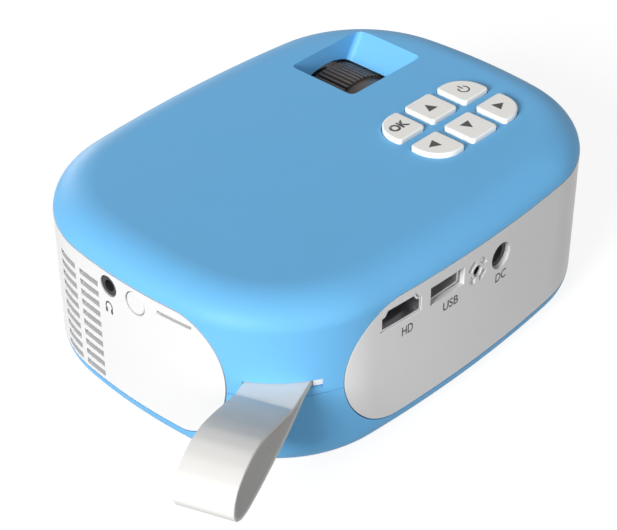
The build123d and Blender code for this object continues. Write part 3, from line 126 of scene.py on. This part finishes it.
def moulded(name, colour, gloss=(0.30, 0.40), grain=2600.0, depth=0.006 * MM, spread=0.03, shine=0.5):
    """A moulded plastic or rubber: its colour drifts by the spread, its gloss between two values."""
    material, tree, skin = new_material(name)
    grained = tree.nodes.new("ShaderNodeGroup")
    grained.node_tree = moulded_skin
    grained.inputs["Grain"].default_value = grain
    grained.inputs["Gloss Low"].default_value = gloss[0]
    grained.inputs["Gloss High"].default_value = gloss[1]
    deep = tuple(c * (1 - spread) for c in colour)
    pale = tuple(min(1.0, c * (1 + spread)) for c in colour)
    tree.links.new(mixed_colour(tree, grained.outputs["Shade"], deep, pale), skin.inputs["Base Color"])
    tree.links.new(grained.outputs["Roughness"], skin.inputs["Roughness"])
    tree.links.new(bumped(tree, grained.outputs["Height"], depth), skin.inputs["Normal"])
    skin.inputs["Specular IOR Level"].default_value = shine
    return material


def dress(material, *names):
    """Gives CAD nodes their finish."""
    for name in names:
        nodes[name].data.materials.clear()
        nodes[name].data.materials.append(material)


blue_shell = moulded("blue_shell", SHELL_BLUE, gloss=(0.44, 0.52), shine=0.2)
dress(blue_shell, "lower_shell")

# ---------------------------------------------------------------- feet and tripod insert
# Four round rubber feet are pressed into seats in the tray. The tripod insert is turned
# brass, held in the boss in the middle.
foot_rubber = moulded("foot_rubber", (0.030, 0.030, 0.032), gloss=(0.7, 0.85), depth=0.03 * MM)
dress(foot_rubber, "foot_1", "foot_2", "foot_3", "foot_4")
METAL_LINES = 220.0         # how fine the worked lines are
METAL_DULL = 0.85           # the lines' darker share of the colour


def metal(name, colour, gloss=(0.25, 0.4), stretch=(1.0, 1.0, 40.0), depth=0.004 * MM):
    """Worked metal: fine lines lie across the stretched direction."""
    material, tree, skin = new_material(name)
    place = tree.nodes.new("ShaderNodeTexCoord").outputs["Object"]
    lines = tree.nodes.new("ShaderNodeMapping")
    lines.inputs["Scale"].default_value = stretch
    tree.links.new(place, lines.inputs["Vector"])
    brushed = noise(tree, lines.outputs["Vector"], 5.0)
    brushed.inputs["Scale"].default_value = METAL_LINES
    sheen = tree.nodes.new("ShaderNodeMapRange")
    sheen.inputs["To Min"].default_value = gloss[0]
    sheen.inputs["To Max"].default_value = gloss[1]
    tree.links.new(brushed.outputs["Fac"], sheen.inputs["Value"])
    dull = tuple(c * METAL_DULL for c in colour)
    tree.links.new(mixed_colour(tree, brushed.outputs["Fac"], dull, colour), skin.inputs["Base Color"])
    tree.links.new(sheen.outputs["Result"], skin.inputs["Roughness"])
    tree.links.new(bumped(tree, brushed.outputs["Fac"], depth), skin.inputs["Normal"])
    skin.inputs["Metallic"].default_value = 1.0
    return material


brass = metal("brass", (0.780, 0.560, 0.240))
dress(brass, "tripod_insert")

# ---------------------------------------------------------------- boards
# Glass-fibre boards under green solder mask, with copper tracks that show as slightly
# raised lines. They carry the key switches, the driver parts and the sockets.
TRACK_PITCH = 260.0
TRACK_SHIFT = 0.37          # of a pitch, from one row of paths to the next
TRACK_W = 0.07              # of a pitch
PAD_R = 0.16                # of a pitch
TRACK_HIGH = 0.03 * MM
MASK_GREEN = (0.010, 0.110, 0.045)
TRACK_GREEN = (0.035, 0.220, 0.080)


def build_board_tracks():
    """Mask of the copper tracks under the solder mask: square paths and round pads."""
    group, enter, leave = new_group("board_tracks", [("Pitch", TRACK_PITCH)], ["Tracks"])
    place = group.nodes.new("ShaderNodeTexCoord").outputs["Object"]
    paths = group.nodes.new("ShaderNodeTexBrick")
    paths.offset = TRACK_SHIFT
    paths.inputs["Mortar Size"].default_value = TRACK_W
    paths.inputs["Color1"].default_value = (0, 0, 0, 1)
    paths.inputs["Color2"].default_value = (0, 0, 0, 1)
    paths.inputs["Mortar"].default_value = (1, 1, 1, 1)
    pads = group.nodes.new("ShaderNodeTexVoronoi")
    small = group.nodes.new("ShaderNodeMath")
    small.operation = "LESS_THAN"
    small.inputs[1].default_value = PAD_R
    both = group.nodes.new("ShaderNodeMath")
    both.operation = "MAXIMUM"
    for texture in (paths, pads):
        group.links.new(place, texture.inputs["Vector"])
        group.links.new(enter.outputs["Pitch"], texture.inputs["Scale"])
    group.links.new(pads.outputs["Distance"], small.inputs[0])
    group.links.new(paths.outputs["Fac"], both.inputs[0])
    group.links.new(small.outputs["Value"], both.inputs[1])
    group.links.new(both.outputs["Value"], leave.inputs["Tracks"])
    return group


def solder_mask():
    material, tree, skin = new_material("board_green")
    tracks = tree.nodes.new("ShaderNodeGroup")
    tracks.node_tree = build_board_tracks()
    colour = mixed_colour(tree, tracks.outputs["Tracks"], MASK_GREEN, TRACK_GREEN)
    tree.links.new(colour, skin.inputs["Base Color"])
    tree.links.new(bumped(tree, tracks.outputs["Tracks"], TRACK_HIGH), skin.inputs["Normal"])
    skin.inputs["Roughness"].default_value = 0.35
    return material


board_green = solder_mask()
dress(board_green, "driver_board", "main_board", "key_board")

# ---------------------------------------------------------------- driver parts, chip and screws
# A wound power coil on a ferrite core, two canned capacitors, the main chip with its
# finned cooler, and small plated screws that hold the boards and the case.
ferrite = moulded("coil_ferrite", (0.060, 0.060, 0.065), gloss=(0.5, 0.7), grain=900.0, depth=0.02 * MM)
can_metal = metal("can_metal", (0.620, 0.630, 0.680))
steel = metal("steel", (0.580, 0.580, 0.600), gloss=(0.22, 0.38))
sink_metal = metal("sink_metal", (0.740, 0.740, 0.760), gloss=(0.35, 0.5), stretch=(1.0, 30.0, 1.0))
black_plastic = moulded("black_plastic", (0.022, 0.022, 0.025), gloss=(0.45, 0.6), grain=1500.0)
dress(ferrite, "power_coil", "speaker_magnet")
dress(can_metal, "capacitors")
dress(steel, "board_screws", "case_screws", "key_switches", "side_switch", "ring_clip")
dress(black_plastic, "main_chip")
dress(sink_metal, "chip_sink", "heat_sink", "led_board")

# ---------------------------------------------------------------- speaker
# A square pressed steel basket with a paper cone and a magnet at its back. It sits behind
# the louvres, facing out.
cone_paper = moulded("cone_paper", (0.045, 0.045, 0.048), gloss=(0.8, 0.95), grain=1200.0, depth=0.05 * MM)
dress(cone_paper, "speaker_cone")
dress(steel, "speaker_basket")

# ---------------------------------------------------------------- light engine and fan
# A black moulded box with a display panel, flat lenses and a light emitter; the fan
# behind it draws air through the cooler's fins.
emitter = moulded("emitter", (0.850, 0.700, 0.180), gloss=(0.3, 0.4))
flex_amber = moulded("flex_amber", (0.480, 0.220, 0.035), gloss=(0.25, 0.35), grain=600.0)
dress(black_plastic, "engine_case", "condenser_holder", "fan_frame", "fan_rotor")
dress(emitter, "led_emitter")
dress(flex_amber, "lcd_flex")

# ---------------------------------------------------------------- lens
# Ground glass with a violet coating, in a black barrel that slides inside a fixed tube.
GLASS_IOR = 1.52
SMEAR_SIZE = 90.0


def glass(name, colour, coating):
    material, tree, skin = new_material(name)
    skin.inputs["Base Color"].default_value = (*colour, 1.0)
    skin.inputs["Transmission Weight"].default_value = 1.0
    skin.inputs["IOR"].default_value = GLASS_IOR
    skin.inputs["Specular Tint"].default_value = (*coating, 1.0)
    skin.inputs["Specular IOR Level"].default_value = 0.3
    smears = noise(tree, tree.nodes.new("ShaderNodeTexCoord").outputs["Object"], 2.0)
    smears.inputs["Scale"].default_value = SMEAR_SIZE
    haze = tree.nodes.new("ShaderNodeMapRange")
    haze.inputs["To Min"].default_value = 0.01
    haze.inputs["To Max"].default_value = 0.06
    tree.links.new(smears.outputs["Fac"], haze.inputs["Value"])
    tree.links.new(haze.outputs["Result"], skin.inputs["Roughness"])
    return material


lens_glass = glass("lens_glass", (0.86, 0.88, 0.95), (0.55, 0.45, 1.0))
panel_glass = glass("panel_glass", (0.25, 0.25, 0.30), (1.0, 1.0, 1.0))
dress(lens_glass, "front_lens", "middle_lens", "rear_lens", "condenser_lens", "field_lens", "heat_glass")
dress(panel_glass, "lcd_panel")
dress(black_plastic, "lens_barrel", "lens_mount")

# ---------------------------------------------------------------- focus ring
# Dark brown-black moulded ring with ribs for the thumb; it shows in the window on top.
dark_ring = moulded("dark_ring", (0.115, 0.093, 0.080), gloss=(0.38, 0.5), grain=1800.0, depth=0.01 * MM)
dress(dark_ring, "focus_ring")

# ---------------------------------------------------------------- sockets
# Plated metal shells for video and card, white housings for USB and the round audio socket whose bores
# are painted darker as painted shade in the holes, and dark housings for headphones and power. All
# hang under the main board and reach through the band.
HOUSING_WHITE = (0.800, 0.800, 0.800)
# The two bore colours are painted shade, darkening the insides of the holes.
USB_BORE_SHADE_GREY = (0.260, 0.260, 0.265)
AV_BORE_SHADE_BLACK = (0.030, 0.030, 0.032)
USB_BORE = (12.3 * MM, 40.35 * MM, 6.36 * MM, 2.66 * MM)    # middle X and Z, half width and height
AV_BORE = (-0.5 * MM, 38.8 * MM, 1.85 * MM, 1.85 * MM)
socket_white = moulded("socket_white", HOUSING_WHITE)
dark_plastic = moulded("dark_plastic", (0.075, 0.077, 0.082), gloss=(0.4, 0.5))
dress(steel, "hd_socket", "card_socket")
dress(dark_plastic, "dc_socket")
dress(black_plastic, "headphone_jack")


def math_node(tree, operation, first, second):
    """One sum or test of two outputs."""
    node = tree.nodes.new("ShaderNodeMath")
    node.operation = operation
    tree.links.new(first, node.inputs[0])
    tree.links.new(second, node.inputs[1])
    return node.outputs["Value"]


def build_bore_mask():
    """Mask of what lies inside a square bore that runs along Y, between these bounds."""
    bounds = ("Low X", "High X", "Low Z", "High Z")
    group, enter, leave = new_group("bore_mask", [(title, 0.0) for title in bounds], ["Inside"])
    axes = group.nodes.new("ShaderNodeSeparateXYZ")
    group.links.new(group.nodes.new("ShaderNodeTexCoord").outputs["Object"], axes.inputs["Vector"])
    spans = []
    for axis in ("X", "Z"):
        above = math_node(group, "GREATER_THAN", axes.outputs[axis], enter.outputs["Low " + axis])
        below = math_node(group, "LESS_THAN", axes.outputs[axis], enter.outputs["High " + axis])
        spans.append(math_node(group, "MULTIPLY", above, below))
    group.links.new(math_node(group, "MULTIPLY", *spans), leave.inputs["Inside"])
    return group


bore_mask = build_bore_mask()


def socket_with_painted_bore_shade(name, bore, bore_shade_colour):
    """White housing whose bore, its walls and what stands in it, is painted darker as painted shade in the
    hole.
    """
    material, tree, skin = new_material(name)
    inside = tree.nodes.new("ShaderNodeGroup")
    inside.node_tree = bore_mask
    middle_x, middle_z, half_w, half_h = bore
    for axis, middle, half in (("X", middle_x, half_w), ("Z", middle_z, half_h)):
        inside.inputs["Low " + axis].default_value = middle - half
        inside.inputs["High " + axis].default_value = middle + half
    colour = mixed_colour(tree, inside.outputs["Inside"], HOUSING_WHITE, bore_shade_colour)
    tree.links.new(colour, skin.inputs["Base Color"])
    skin.inputs["Roughness"].default_value = 0.35
    return material


# Each socket's bore is painted darker: painted shade in the hole.
dress(socket_with_painted_bore_shade("socket_white_grey", USB_BORE, USB_BORE_SHADE_GREY), "usb_socket")
dress(socket_with_painted_bore_shade("socket_white_dark", AV_BORE, AV_BORE_SHADE_BLACK), "av_socket")

# ---------------------------------------------------------------- leads
# Three insulated leads run from the speaker, the fan and the light emitter to the boards.
lead_black = moulded("lead_black", (0.018, 0.018, 0.018), gloss=(0.5, 0.6))
dress(lead_black, "speaker_lead", "fan_lead", "led_lead")

# ---------------------------------------------------------------- upper shell
# The lid of the case, moulded in the same blue as the tray, with the window's sloping
# wall over the focus ring and six holes for the keys.
dress(blue_shell, "upper_shell")

# ---------------------------------------------------------------- keys
# Six white caps, moulded in a matt warm white. Their marks are printed in dark grey ink
# that lies just proud of the cap.
KEY_NODES = ("key_ok", "key_up", "key_power", "key_left", "key_down", "key_right")
INK_T = 0.015 * MM
MARK_W = 3.9 * MM
MARK_H = 3.6 * MM
ARROWS = (                  # key, middle X and Y in millimetres, turn
    ("key_up", -36.1, 10.7, 0),
    ("key_down", -36.2, 24.6, math.pi),
    ("key_left", -21.3, 24.6, math.pi / 2),
    ("key_right", -51.0, 24.8, -math.pi / 2))
OK_W = 6.9 * MM
OK_X = -21.7 * MM
OK_Y = 10.5 * MM
OK_BOLD = 0.045
POWER_X = -51.4 * MM
POWER_Y = 11.0 * MM
POWER_R = 1.95 * MM
POWER_STROKE = 0.55 * MM
POWER_GAP = math.radians(38)     # of the ring, to each side of its bar
POWER_BAR_OUT = 0.75        # the bar's middle and length, of the ring's radius
POWER_BAR_L = 1.1
key_white = moulded("key_white", (0.940, 0.925, 0.890), gloss=(0.42, 0.52), grain=1400.0, depth=0.01 * MM)
ink = moulded("dark_ink", (0.045, 0.042, 0.042), gloss=(0.5, 0.6), grain=3000.0)
dress(key_white, *KEY_NODES)


def clear_selection():
    if bpy.context.object and bpy.context.object.mode != "OBJECT":
        bpy.ops.object.mode_set(mode="OBJECT")
    bpy.ops.object.select_all(action="DESELECT")


def settle(piece, name, material, body):
    """Puts a finished piece at the origin, with its place in its mesh, and on its body."""
    clear_selection()
    piece.select_set(True)
    bpy.context.view_layer.objects.active = piece
    if piece.type != "MESH":
        bpy.ops.object.convert(target="MESH")
        piece = bpy.context.object
    bpy.ops.object.transform_apply(location=True, rotation=True, scale=True)
    piece.name = name
    piece.data.materials.clear()
    piece.data.materials.append(material)
    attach(piece, body)
    return piece


def choose(piece, kind, wanted):
    """Selects the faces or vertices whose middle passes the test, and nothing else."""
    for item in (*piece.data.vertices, *piece.data.edges, *piece.data.polygons):
        item.select = False
    if kind == "FACE":
        for face in piece.data.polygons:
            face.select = wanted(face.center)
    else:
        for vertex in piece.data.vertices:
            vertex.select = wanted(vertex.co)
    bpy.ops.object.mode_set(mode="EDIT")
    bpy.ops.mesh.select_mode(type=kind)


def finish_modifiers(piece):
    bpy.context.view_layer.objects.active = piece
    for modifier in list(piece.modifiers):
        bpy.ops.object.modifier_apply(modifier=modifier.name)


def ink_over(piece):
    """Gives a flat mark its ink thickness, upwards from where it lies."""
    film = piece.modifiers.new("ink", "SOLIDIFY")
    film.thickness = INK_T
    film.offset = 1.0
    finish_modifiers(piece)


def cap_top(node):
    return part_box(node)[1].z


def arrow(node, x, y, turn):
    """Triangle on a key; turn 0 points to -Y."""
    clear_selection()
    bpy.ops.mesh.primitive_circle_add(vertices=3, radius=1.0, fill_type="NGON", location=(0, 0, 0))
    piece = bpy.context.object
    bpy.ops.object.mode_set(mode="EDIT")
    bpy.ops.mesh.select_all(action="SELECT")
    bpy.ops.transform.resize(value=(MARK_W / math.sqrt(3), MARK_H / 1.5, 1), center_override=(0, 0, 0))
    bpy.ops.object.mode_set(mode="OBJECT")
    ink_over(piece)
    piece.location = (x, y, cap_top(node))
    piece.rotation_euler = (0, 0, math.pi + turn)
    return settle(piece, node + "_mark", ink, node + "_body")


for node, x, y, turn in ARROWS:
    arrow(node, x * MM, y * MM, turn)


def lettering(words, width, height, bold=0.0):
    """Flat text of this size, as a mesh with its middle at the origin."""
    clear_selection()
    bpy.ops.object.text_add(location=(0, 0, 0))
    piece = bpy.context.object
    piece.data.body = words
    piece.data.align_x = "CENTER"
    piece.data.align_y = "CENTER"
    piece.data.offset = bold
    bpy.ops.object.convert(target="MESH")
    piece = bpy.context.object
    bpy.ops.object.origin_set(type="ORIGIN_GEOMETRY", center="BOUNDS")
    piece.location = (0, 0, 0)
    piece.dimensions = (width, height, 0)
    bpy.ops.object.transform_apply(location=True, rotation=True, scale=True)
    ink_over(piece)
    return piece


ok_mark = lettering("OK", OK_W, MARK_H, bold=OK_BOLD)
ok_mark.location = (OK_X, OK_Y, cap_top("key_ok"))
ok_mark.rotation_euler = (0, 0, math.pi)
settle(ok_mark, "key_ok_mark", ink, "key_ok_body")


def flat_ring(radius, stroke):
    """Flat ring round the origin, left in edit mode with its inner edge selected."""
    clear_selection()
    bpy.ops.mesh.primitive_circle_add(vertices=48, radius=radius, location=(0, 0, 0))
    ring = bpy.context.object
    bpy.ops.object.mode_set(mode="EDIT")
    bpy.ops.mesh.select_all(action="SELECT")
    bpy.ops.mesh.extrude_edges_move()
    inner = (radius - stroke) / radius
    bpy.ops.transform.resize(value=(inner, inner, 1), center_override=(0, 0, 0))
    return ring


def open_up(ring, wanted):
    """Deletes the faces of a ring whose middle passes the test."""
    bpy.ops.object.mode_set(mode="OBJECT")
    choose(ring, "FACE", wanted)
    bpy.ops.mesh.delete(type="FACE")
    bpy.ops.object.mode_set(mode="OBJECT")


def joined_mark(first, others):
    """Joins flat pieces into the first, all facing one way, and gives them ink thickness."""
    for piece in (first, *others):
        piece.select_set(True)
    bpy.context.view_layer.objects.active = first
    bpy.ops.object.join()
    bpy.ops.object.mode_set(mode="EDIT")
    bpy.ops.mesh.select_all(action="SELECT")
    bpy.ops.mesh.normals_make_consistent(inside=False)
    bpy.ops.object.mode_set(mode="OBJECT")
    ink_over(first)
    return first


def power_mark():
    """Open ring with a bar in its gap; the gap is to -Y."""
    ring = flat_ring(POWER_R, POWER_STROKE)
    open_up(ring, lambda middle: abs(math.atan2(middle.x, -middle.y)) < POWER_GAP)
    bpy.ops.mesh.primitive_plane_add(size=1, location=(0, -POWER_R * POWER_BAR_OUT, 0))
    bar = bpy.context.object
    bar.scale = (POWER_STROKE, POWER_R * POWER_BAR_L, 1)
    bpy.ops.object.transform_apply(location=True, rotation=True, scale=True)
    joined_mark(ring, [bar])
    ring.location = (POWER_X, POWER_Y, cap_top("key_power"))
    return settle(ring, "key_power_mark", ink, "key_power_body")


power_mark()

# ---------------------------------------------------------------- side band
# One white moulded wrap round the case, flush with the shells, with the openings for the
# louvres and sockets. The ring round the lens and the small side button match it.
BAND_WHITE = (0.760, 0.760, 0.762)
white_band = moulded("white_band", BAND_WHITE, gloss=(0.34, 0.42), shine=0.3)
dress(white_band, "side_band", "lens_bezel", "side_button")

# ---------------------------------------------------------------- labels on the band
# Socket names and a headphone sign, printed on the band under their openings. The ink
# follows the bow of the walls.
END_BOW_R = 178.0 * MM      # of the louvred wall
SIDE_BOW_R = 412.0 * MM     # of the wall with the sockets
LABEL_PROUD = 0.01 * MM
LABEL_BOLD = 0.012
SOCKET_LABELS = (           # words, width, height, middle X and Z in millimetres, name
    ("HD", 4.2, 3.0, 28.15, 34.15, "label_hd"),
    ("USB", 6.3, 3.0, 10.8, 33.9, "label_usb"),
    ("DC", 4.9, 3.1, -11.8, 31.1, "label_dc"))
SIGN_Y = -7.75 * MM
SIGN_Z = 35.0 * MM
SIGN_W = 3.1 * MM
SIGN_H = 4.1 * MM
SIGN_STROKE = 0.42 * MM
ARCH_TALL = 1.25            # the arch's height to its width
ARCH_CUT = 0.12             # how far below the middle it ends, of the sign's height
CUP_OUT = 0.36              # an ear cup's place and size, of the sign's width and height
CUP_DOWN = 0.28
CUP_W = 0.30
CUP_H = 0.44
band_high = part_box("side_band")[1]


def print_on_wall(piece, centre_x, centre_y, bow_r, angle, z, name):
    """Stands a flat mark upright on a bowed wall, where the wall faces this angle from +X."""
    reach = bow_r + LABEL_PROUD
    piece.rotation_mode = "QUATERNION"
    upright = Quaternion((1, 0, 0), math.pi / 2)
    piece.rotation_quaternion = Quaternion((0, 0, 1), angle + math.pi / 2) @ upright
    piece.location = (centre_x + reach * math.cos(angle), centre_y + reach * math.sin(angle), z)
    return settle(piece, name, ink, "base")


for words, width, height, x, z, name in SOCKET_LABELS:
    print_on_wall(lettering(words, width * MM, height * MM, bold=LABEL_BOLD), 0, band_high.y - SIDE_BOW_R,
                  SIDE_BOW_R, math.pi / 2 - math.asin(x * MM / SIDE_BOW_R), z * MM, name)


def headphone_sign():
    """An arch over two ear cups, flat, its middle at the origin."""
    arch = flat_ring(SIGN_W / 2, SIGN_STROKE)
    bpy.ops.mesh.select_all(action="SELECT")
    bpy.ops.transform.resize(value=(1, ARCH_TALL, 1), center_override=(0, 0, 0))
    bpy.ops.transform.translate(value=(0, (SIGN_H - ARCH_TALL * SIGN_W) / 2, 0))
    open_up(arch, lambda middle: middle.y < -SIGN_H * ARCH_CUT)
    cups = []
    for side in (-1, 1):
        place = (side * SIGN_W * CUP_OUT, -SIGN_H * CUP_DOWN, 0)
        bpy.ops.mesh.primitive_circle_add(vertices=24, radius=0.5, fill_type="NGON", location=place)
        cup = bpy.context.object
        cup.scale = (SIGN_W * CUP_W, SIGN_H * CUP_H, 1)
        bpy.ops.object.transform_apply(location=True, rotation=True, scale=True)
        cups.append(cup)
    return joined_mark(arch, cups)


print_on_wall(headphone_sign(), band_high.x - END_BOW_R, 0, END_BOW_R, math.asin(SIGN_Y / END_BOW_R),
              SIGN_Z, "label_headphones")

# ---------------------------------------------------------------- wrist strap
# A soft coated band, 16 mm wide, folded into a loop that stands out of the slot at one
# corner and curls back under itself. Its two ends meet the white anchor inside the corner.
STRAP_ANGLE = math.radians(21.0)
STRAP_W = 16.4 * MM
STRAP_T = 1.1 * MM
STRAP_EDGE = Vector((58.7 * MM, 50.3 * MM, 0))
STRAP_MIDDLE_Z = 29.35 * MM
STRAP_LINE = (              # points of the fold, out and up from there, in millimetres
    (-9.0, 0.0), (-3.0, 0.0), (3.0, 0.0), (8.0, 0.0), (11.6, 0.0), (12.5, 0.1), (14.5, 0.8), (17.0, 1.6),
    (22.5, 3.2), (27.3, 4.6), (32.0, 5.6), (37.0, 5.6), (42.0, 4.3), (46.5, 1.9), (48.8, -1.2),
    (49.3, -4.4), (47.8, -7.2), (45.0, -8.8), (41.0, -9.2), (34.0, -8.5), (27.0, -7.3), (20.5, -6.1),
    (14.0, -4.8), (8.5, -2.9), (3.5, -1.2), (-3.0, -1.2), (-9.0, -1.2))
STRAP_SPREAD = 0.03         # how much wider the band lies at its nose than at the slot
STRAP_LONG = 49.3 * MM
STRAP_ROUND = 0.3 * MM      # of the band's edges
STRAP_SMOOTH = 2            # subdivisions of the fold
STRAP_DARK = (0.745, 0.735, 0.715)
STRAP_PALE = (0.795, 0.785, 0.765)
STRAP_ALONG = Vector((math.cos(STRAP_ANGLE), math.sin(STRAP_ANGLE), 0))
STRAP_ACROSS = Vector((math.sin(STRAP_ANGLE), -math.cos(STRAP_ANGLE), 0))
WEAVE = 1500.0
WEAVE_DEEP = 0.01 * MM
CLOTH_CLOUDS = 60.0


def strap_point(out, up):
    return STRAP_EDGE + STRAP_ALONG * (out * MM) + Vector((0, 0, STRAP_MIDDLE_Z + up * MM))


def folded_strap():
    """One edge as wide as the band, drawn out along the fold and spread a little towards its nose; its
    thickness comes later, from the modifiers.
    """
    clear_selection()
    bpy.ops.mesh.primitive_plane_add(size=STRAP_W, location=(0, 0, 0))
    piece = bpy.context.object
    choose(piece, "VERT", lambda place: place.x > 0)
    bpy.ops.mesh.delete(type="VERT")
    bpy.ops.object.mode_set(mode="OBJECT")
    start = strap_point(*STRAP_LINE[0])
    for vertex, share in zip(piece.data.vertices, (0, 1)):
        vertex.co = start + STRAP_ACROSS * (STRAP_W * share)
    bpy.ops.object.mode_set(mode="EDIT")
    bpy.ops.mesh.select_all(action="SELECT")
    here = start
    for point in STRAP_LINE[1:]:
        there = strap_point(*point)
        bpy.ops.mesh.extrude_region_move(TRANSFORM_OT_translate={"value": there - here})
        here = there
    bpy.ops.mesh.select_all(action="SELECT")
    bpy.ops.mesh.subdivide(number_cuts=1)
    bpy.ops.object.mode_set(mode="OBJECT")
    for vertex in piece.data.vertices:
        place = vertex.co - STRAP_EDGE
        spread = STRAP_SPREAD * place.dot(STRAP_ALONG) / STRAP_LONG
        vertex.co += STRAP_ACROSS * (place.dot(STRAP_ACROSS) * spread)
    return piece


def strap_cloth():
    """Fine close weave under a soft coating, from the piece's own coordinates."""
    material, tree, skin = new_material("strap_grey")
    place = tree.nodes.new("ShaderNodeTexCoord").outputs["Object"]
    weave = noise(tree, place, 4.0)
    weave.inputs["Scale"].default_value = WEAVE
    clouds = noise(tree, place, 3.0)
    clouds.inputs["Scale"].default_value = CLOTH_CLOUDS
    colour = mixed_colour(tree, clouds.outputs["Fac"], STRAP_DARK, STRAP_PALE)
    tree.links.new(colour, skin.inputs["Base Color"])
    tree.links.new(bumped(tree, weave.outputs["Fac"], WEAVE_DEEP), skin.inputs["Normal"])
    skin.inputs["Roughness"].default_value = 0.6
    skin.inputs["Specular IOR Level"].default_value = 0.25
    return material


strap = folded_strap()
smooth = strap.modifiers.new("smooth", "SUBSURF")
smooth.levels = STRAP_SMOOTH
smooth.render_levels = STRAP_SMOOTH
thick = strap.modifiers.new("thick", "SOLIDIFY")
thick.thickness = STRAP_T
thick.offset = 0.0
soft_edge = strap.modifiers.new("soft_edge", "BEVEL")
soft_edge.width = STRAP_ROUND
soft_edge.segments = 3
soft_edge.limit_method = "ANGLE"
finish_modifiers(strap)
bpy.ops.object.shade_smooth_by_angle(angle=math.radians(40))
settle(strap, "wrist_strap", strap_cloth(), "base")
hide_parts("strap")
dress(socket_white, "strap_anchor")

# ---------------------------------------------------------------- floor, light and camera
# A white table and an even white surround. The main lamp shines from the louvred side, a
# weaker broad one from the socket side and a low one from behind, on the lens face.
FLOOR_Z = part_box("foot_1")[0].z
FLOOR_SIZE = 6.0
FLOOR_GREY = 0.22           # what it throws back at the object
FLOOR_GLOW = 0.87           # what the camera sees added to that
ROOM_LIGHT = 0.15
clear_selection()
bpy.ops.mesh.primitive_plane_add(size=FLOOR_SIZE, location=(0, 0, FLOOR_Z))
floor = bpy.context.object
floor.name = "floor"


def seen_directly(tree):
    """1 for what the camera, a gloss or a glass shows, 0 for what only lights the object."""
    path = tree.nodes.new("ShaderNodeLightPath")
    total = path.outputs["Is Camera Ray"]
    for kind in ("Is Glossy Ray", "Is Transmission Ray"):
        either = tree.nodes.new("ShaderNodeMath")
        either.operation = "MAXIMUM"
        tree.links.new(total, either.inputs[0])
        tree.links.new(path.outputs[kind], either.inputs[1])
        total = either.outputs["Value"]
    return total


def white_table():
    material = bpy.data.materials.new("white_table")
    material.use_nodes = True
    tree = material.node_tree
    tree.nodes.clear()
    lit = tree.nodes.new("ShaderNodeBsdfDiffuse")
    lit.inputs["Color"].default_value = (FLOOR_GREY, FLOOR_GREY, FLOOR_GREY, 1)
    white = tree.nodes.new("ShaderNodeEmission")
    white.inputs["Strength"].default_value = FLOOR_GLOW
    both = tree.nodes.new("ShaderNodeAddShader")
    pick = tree.nodes.new("ShaderNodeMixShader")
    leave = tree.nodes.new("ShaderNodeOutputMaterial")
    tree.links.new(lit.outputs[0], both.inputs[0])
    tree.links.new(white.outputs[0], both.inputs[1])
    tree.links.new(seen_directly(tree), pick.inputs["Fac"])
    tree.links.new(lit.outputs[0], pick.inputs[1])
    tree.links.new(both.outputs[0], pick.inputs[2])
    tree.links.new(pick.outputs[0], leave.inputs["Surface"])
    return material


floor.data.materials.append(white_table())

world = bpy.data.worlds.new("surround")
bpy.context.scene.world = world
world.use_nodes = True
sky = world.node_tree
even = sky.nodes["Background"]
even.inputs["Color"].default_value = (1, 1, 1, 1)
even.inputs["Strength"].default_value = ROOM_LIGHT
bright = sky.nodes.new("ShaderNodeBackground")
bright.inputs["Color"].default_value = (1, 1, 1, 1)
bright.inputs["Strength"].default_value = 1.0
either = sky.nodes.new("ShaderNodeMixShader")
sky.links.new(seen_directly(sky), either.inputs["Fac"])
sky.links.new(even.outputs[0], either.inputs[1])
sky.links.new(bright.outputs[0], either.inputs[2])
sky.links.new(either.outputs[0], sky.nodes["World Output"].inputs["Surface"])


def lamp(name, towards, strength, spread):
    """A broad lamp far away, shining from the direction given."""
    light = bpy.data.lights.new(name, "SUN")
    light.energy = strength
    light.angle = math.radians(spread)
    place = bpy.data.objects.new(name, light)
    place.rotation_mode = "QUATERNION"
    place.rotation_quaternion = Vector(towards).to_track_quat("Z", "Y")
    bpy.context.collection.objects.link(place)
    return place


lamp("key_lamp", towards=(0.910, 0.140, 0.390), strength=3.62, spread=22.0)
lamp("fill_lamp", towards=(0.150, 0.950, 0.270), strength=1.12, spread=60.0)
lamp("back_lamp", towards=(-0.350, -0.930, 0.060), strength=1.00, spread=20.0)

CAMERA_PLACE = Vector((0.32314, 0.29947, 0.33550))
CAMERA_BACK = Vector((0.5857231, 0.55320955, 0.5923577))
CAMERA_ROLL = math.radians(-0.115)
CAMERA_LENS = 104.13
CAMERA_SENSOR = 36.0
camera = bpy.data.objects.new("camera", bpy.data.cameras.new("camera"))
camera.data.lens = CAMERA_LENS
camera.data.sensor_width = CAMERA_SENSOR
camera.data.clip_start = 0.01
camera.location = CAMERA_PLACE
camera.rotation_mode = "QUATERNION"
camera.rotation_quaternion = CAMERA_BACK.to_track_quat("Z", "Y") @ Quaternion((0, 0, 1), CAMERA_ROLL)
bpy.context.collection.objects.link(camera)
bpy.context.scene.camera = camera
bpy.context.scene.view_settings.view_transform = "Standard"
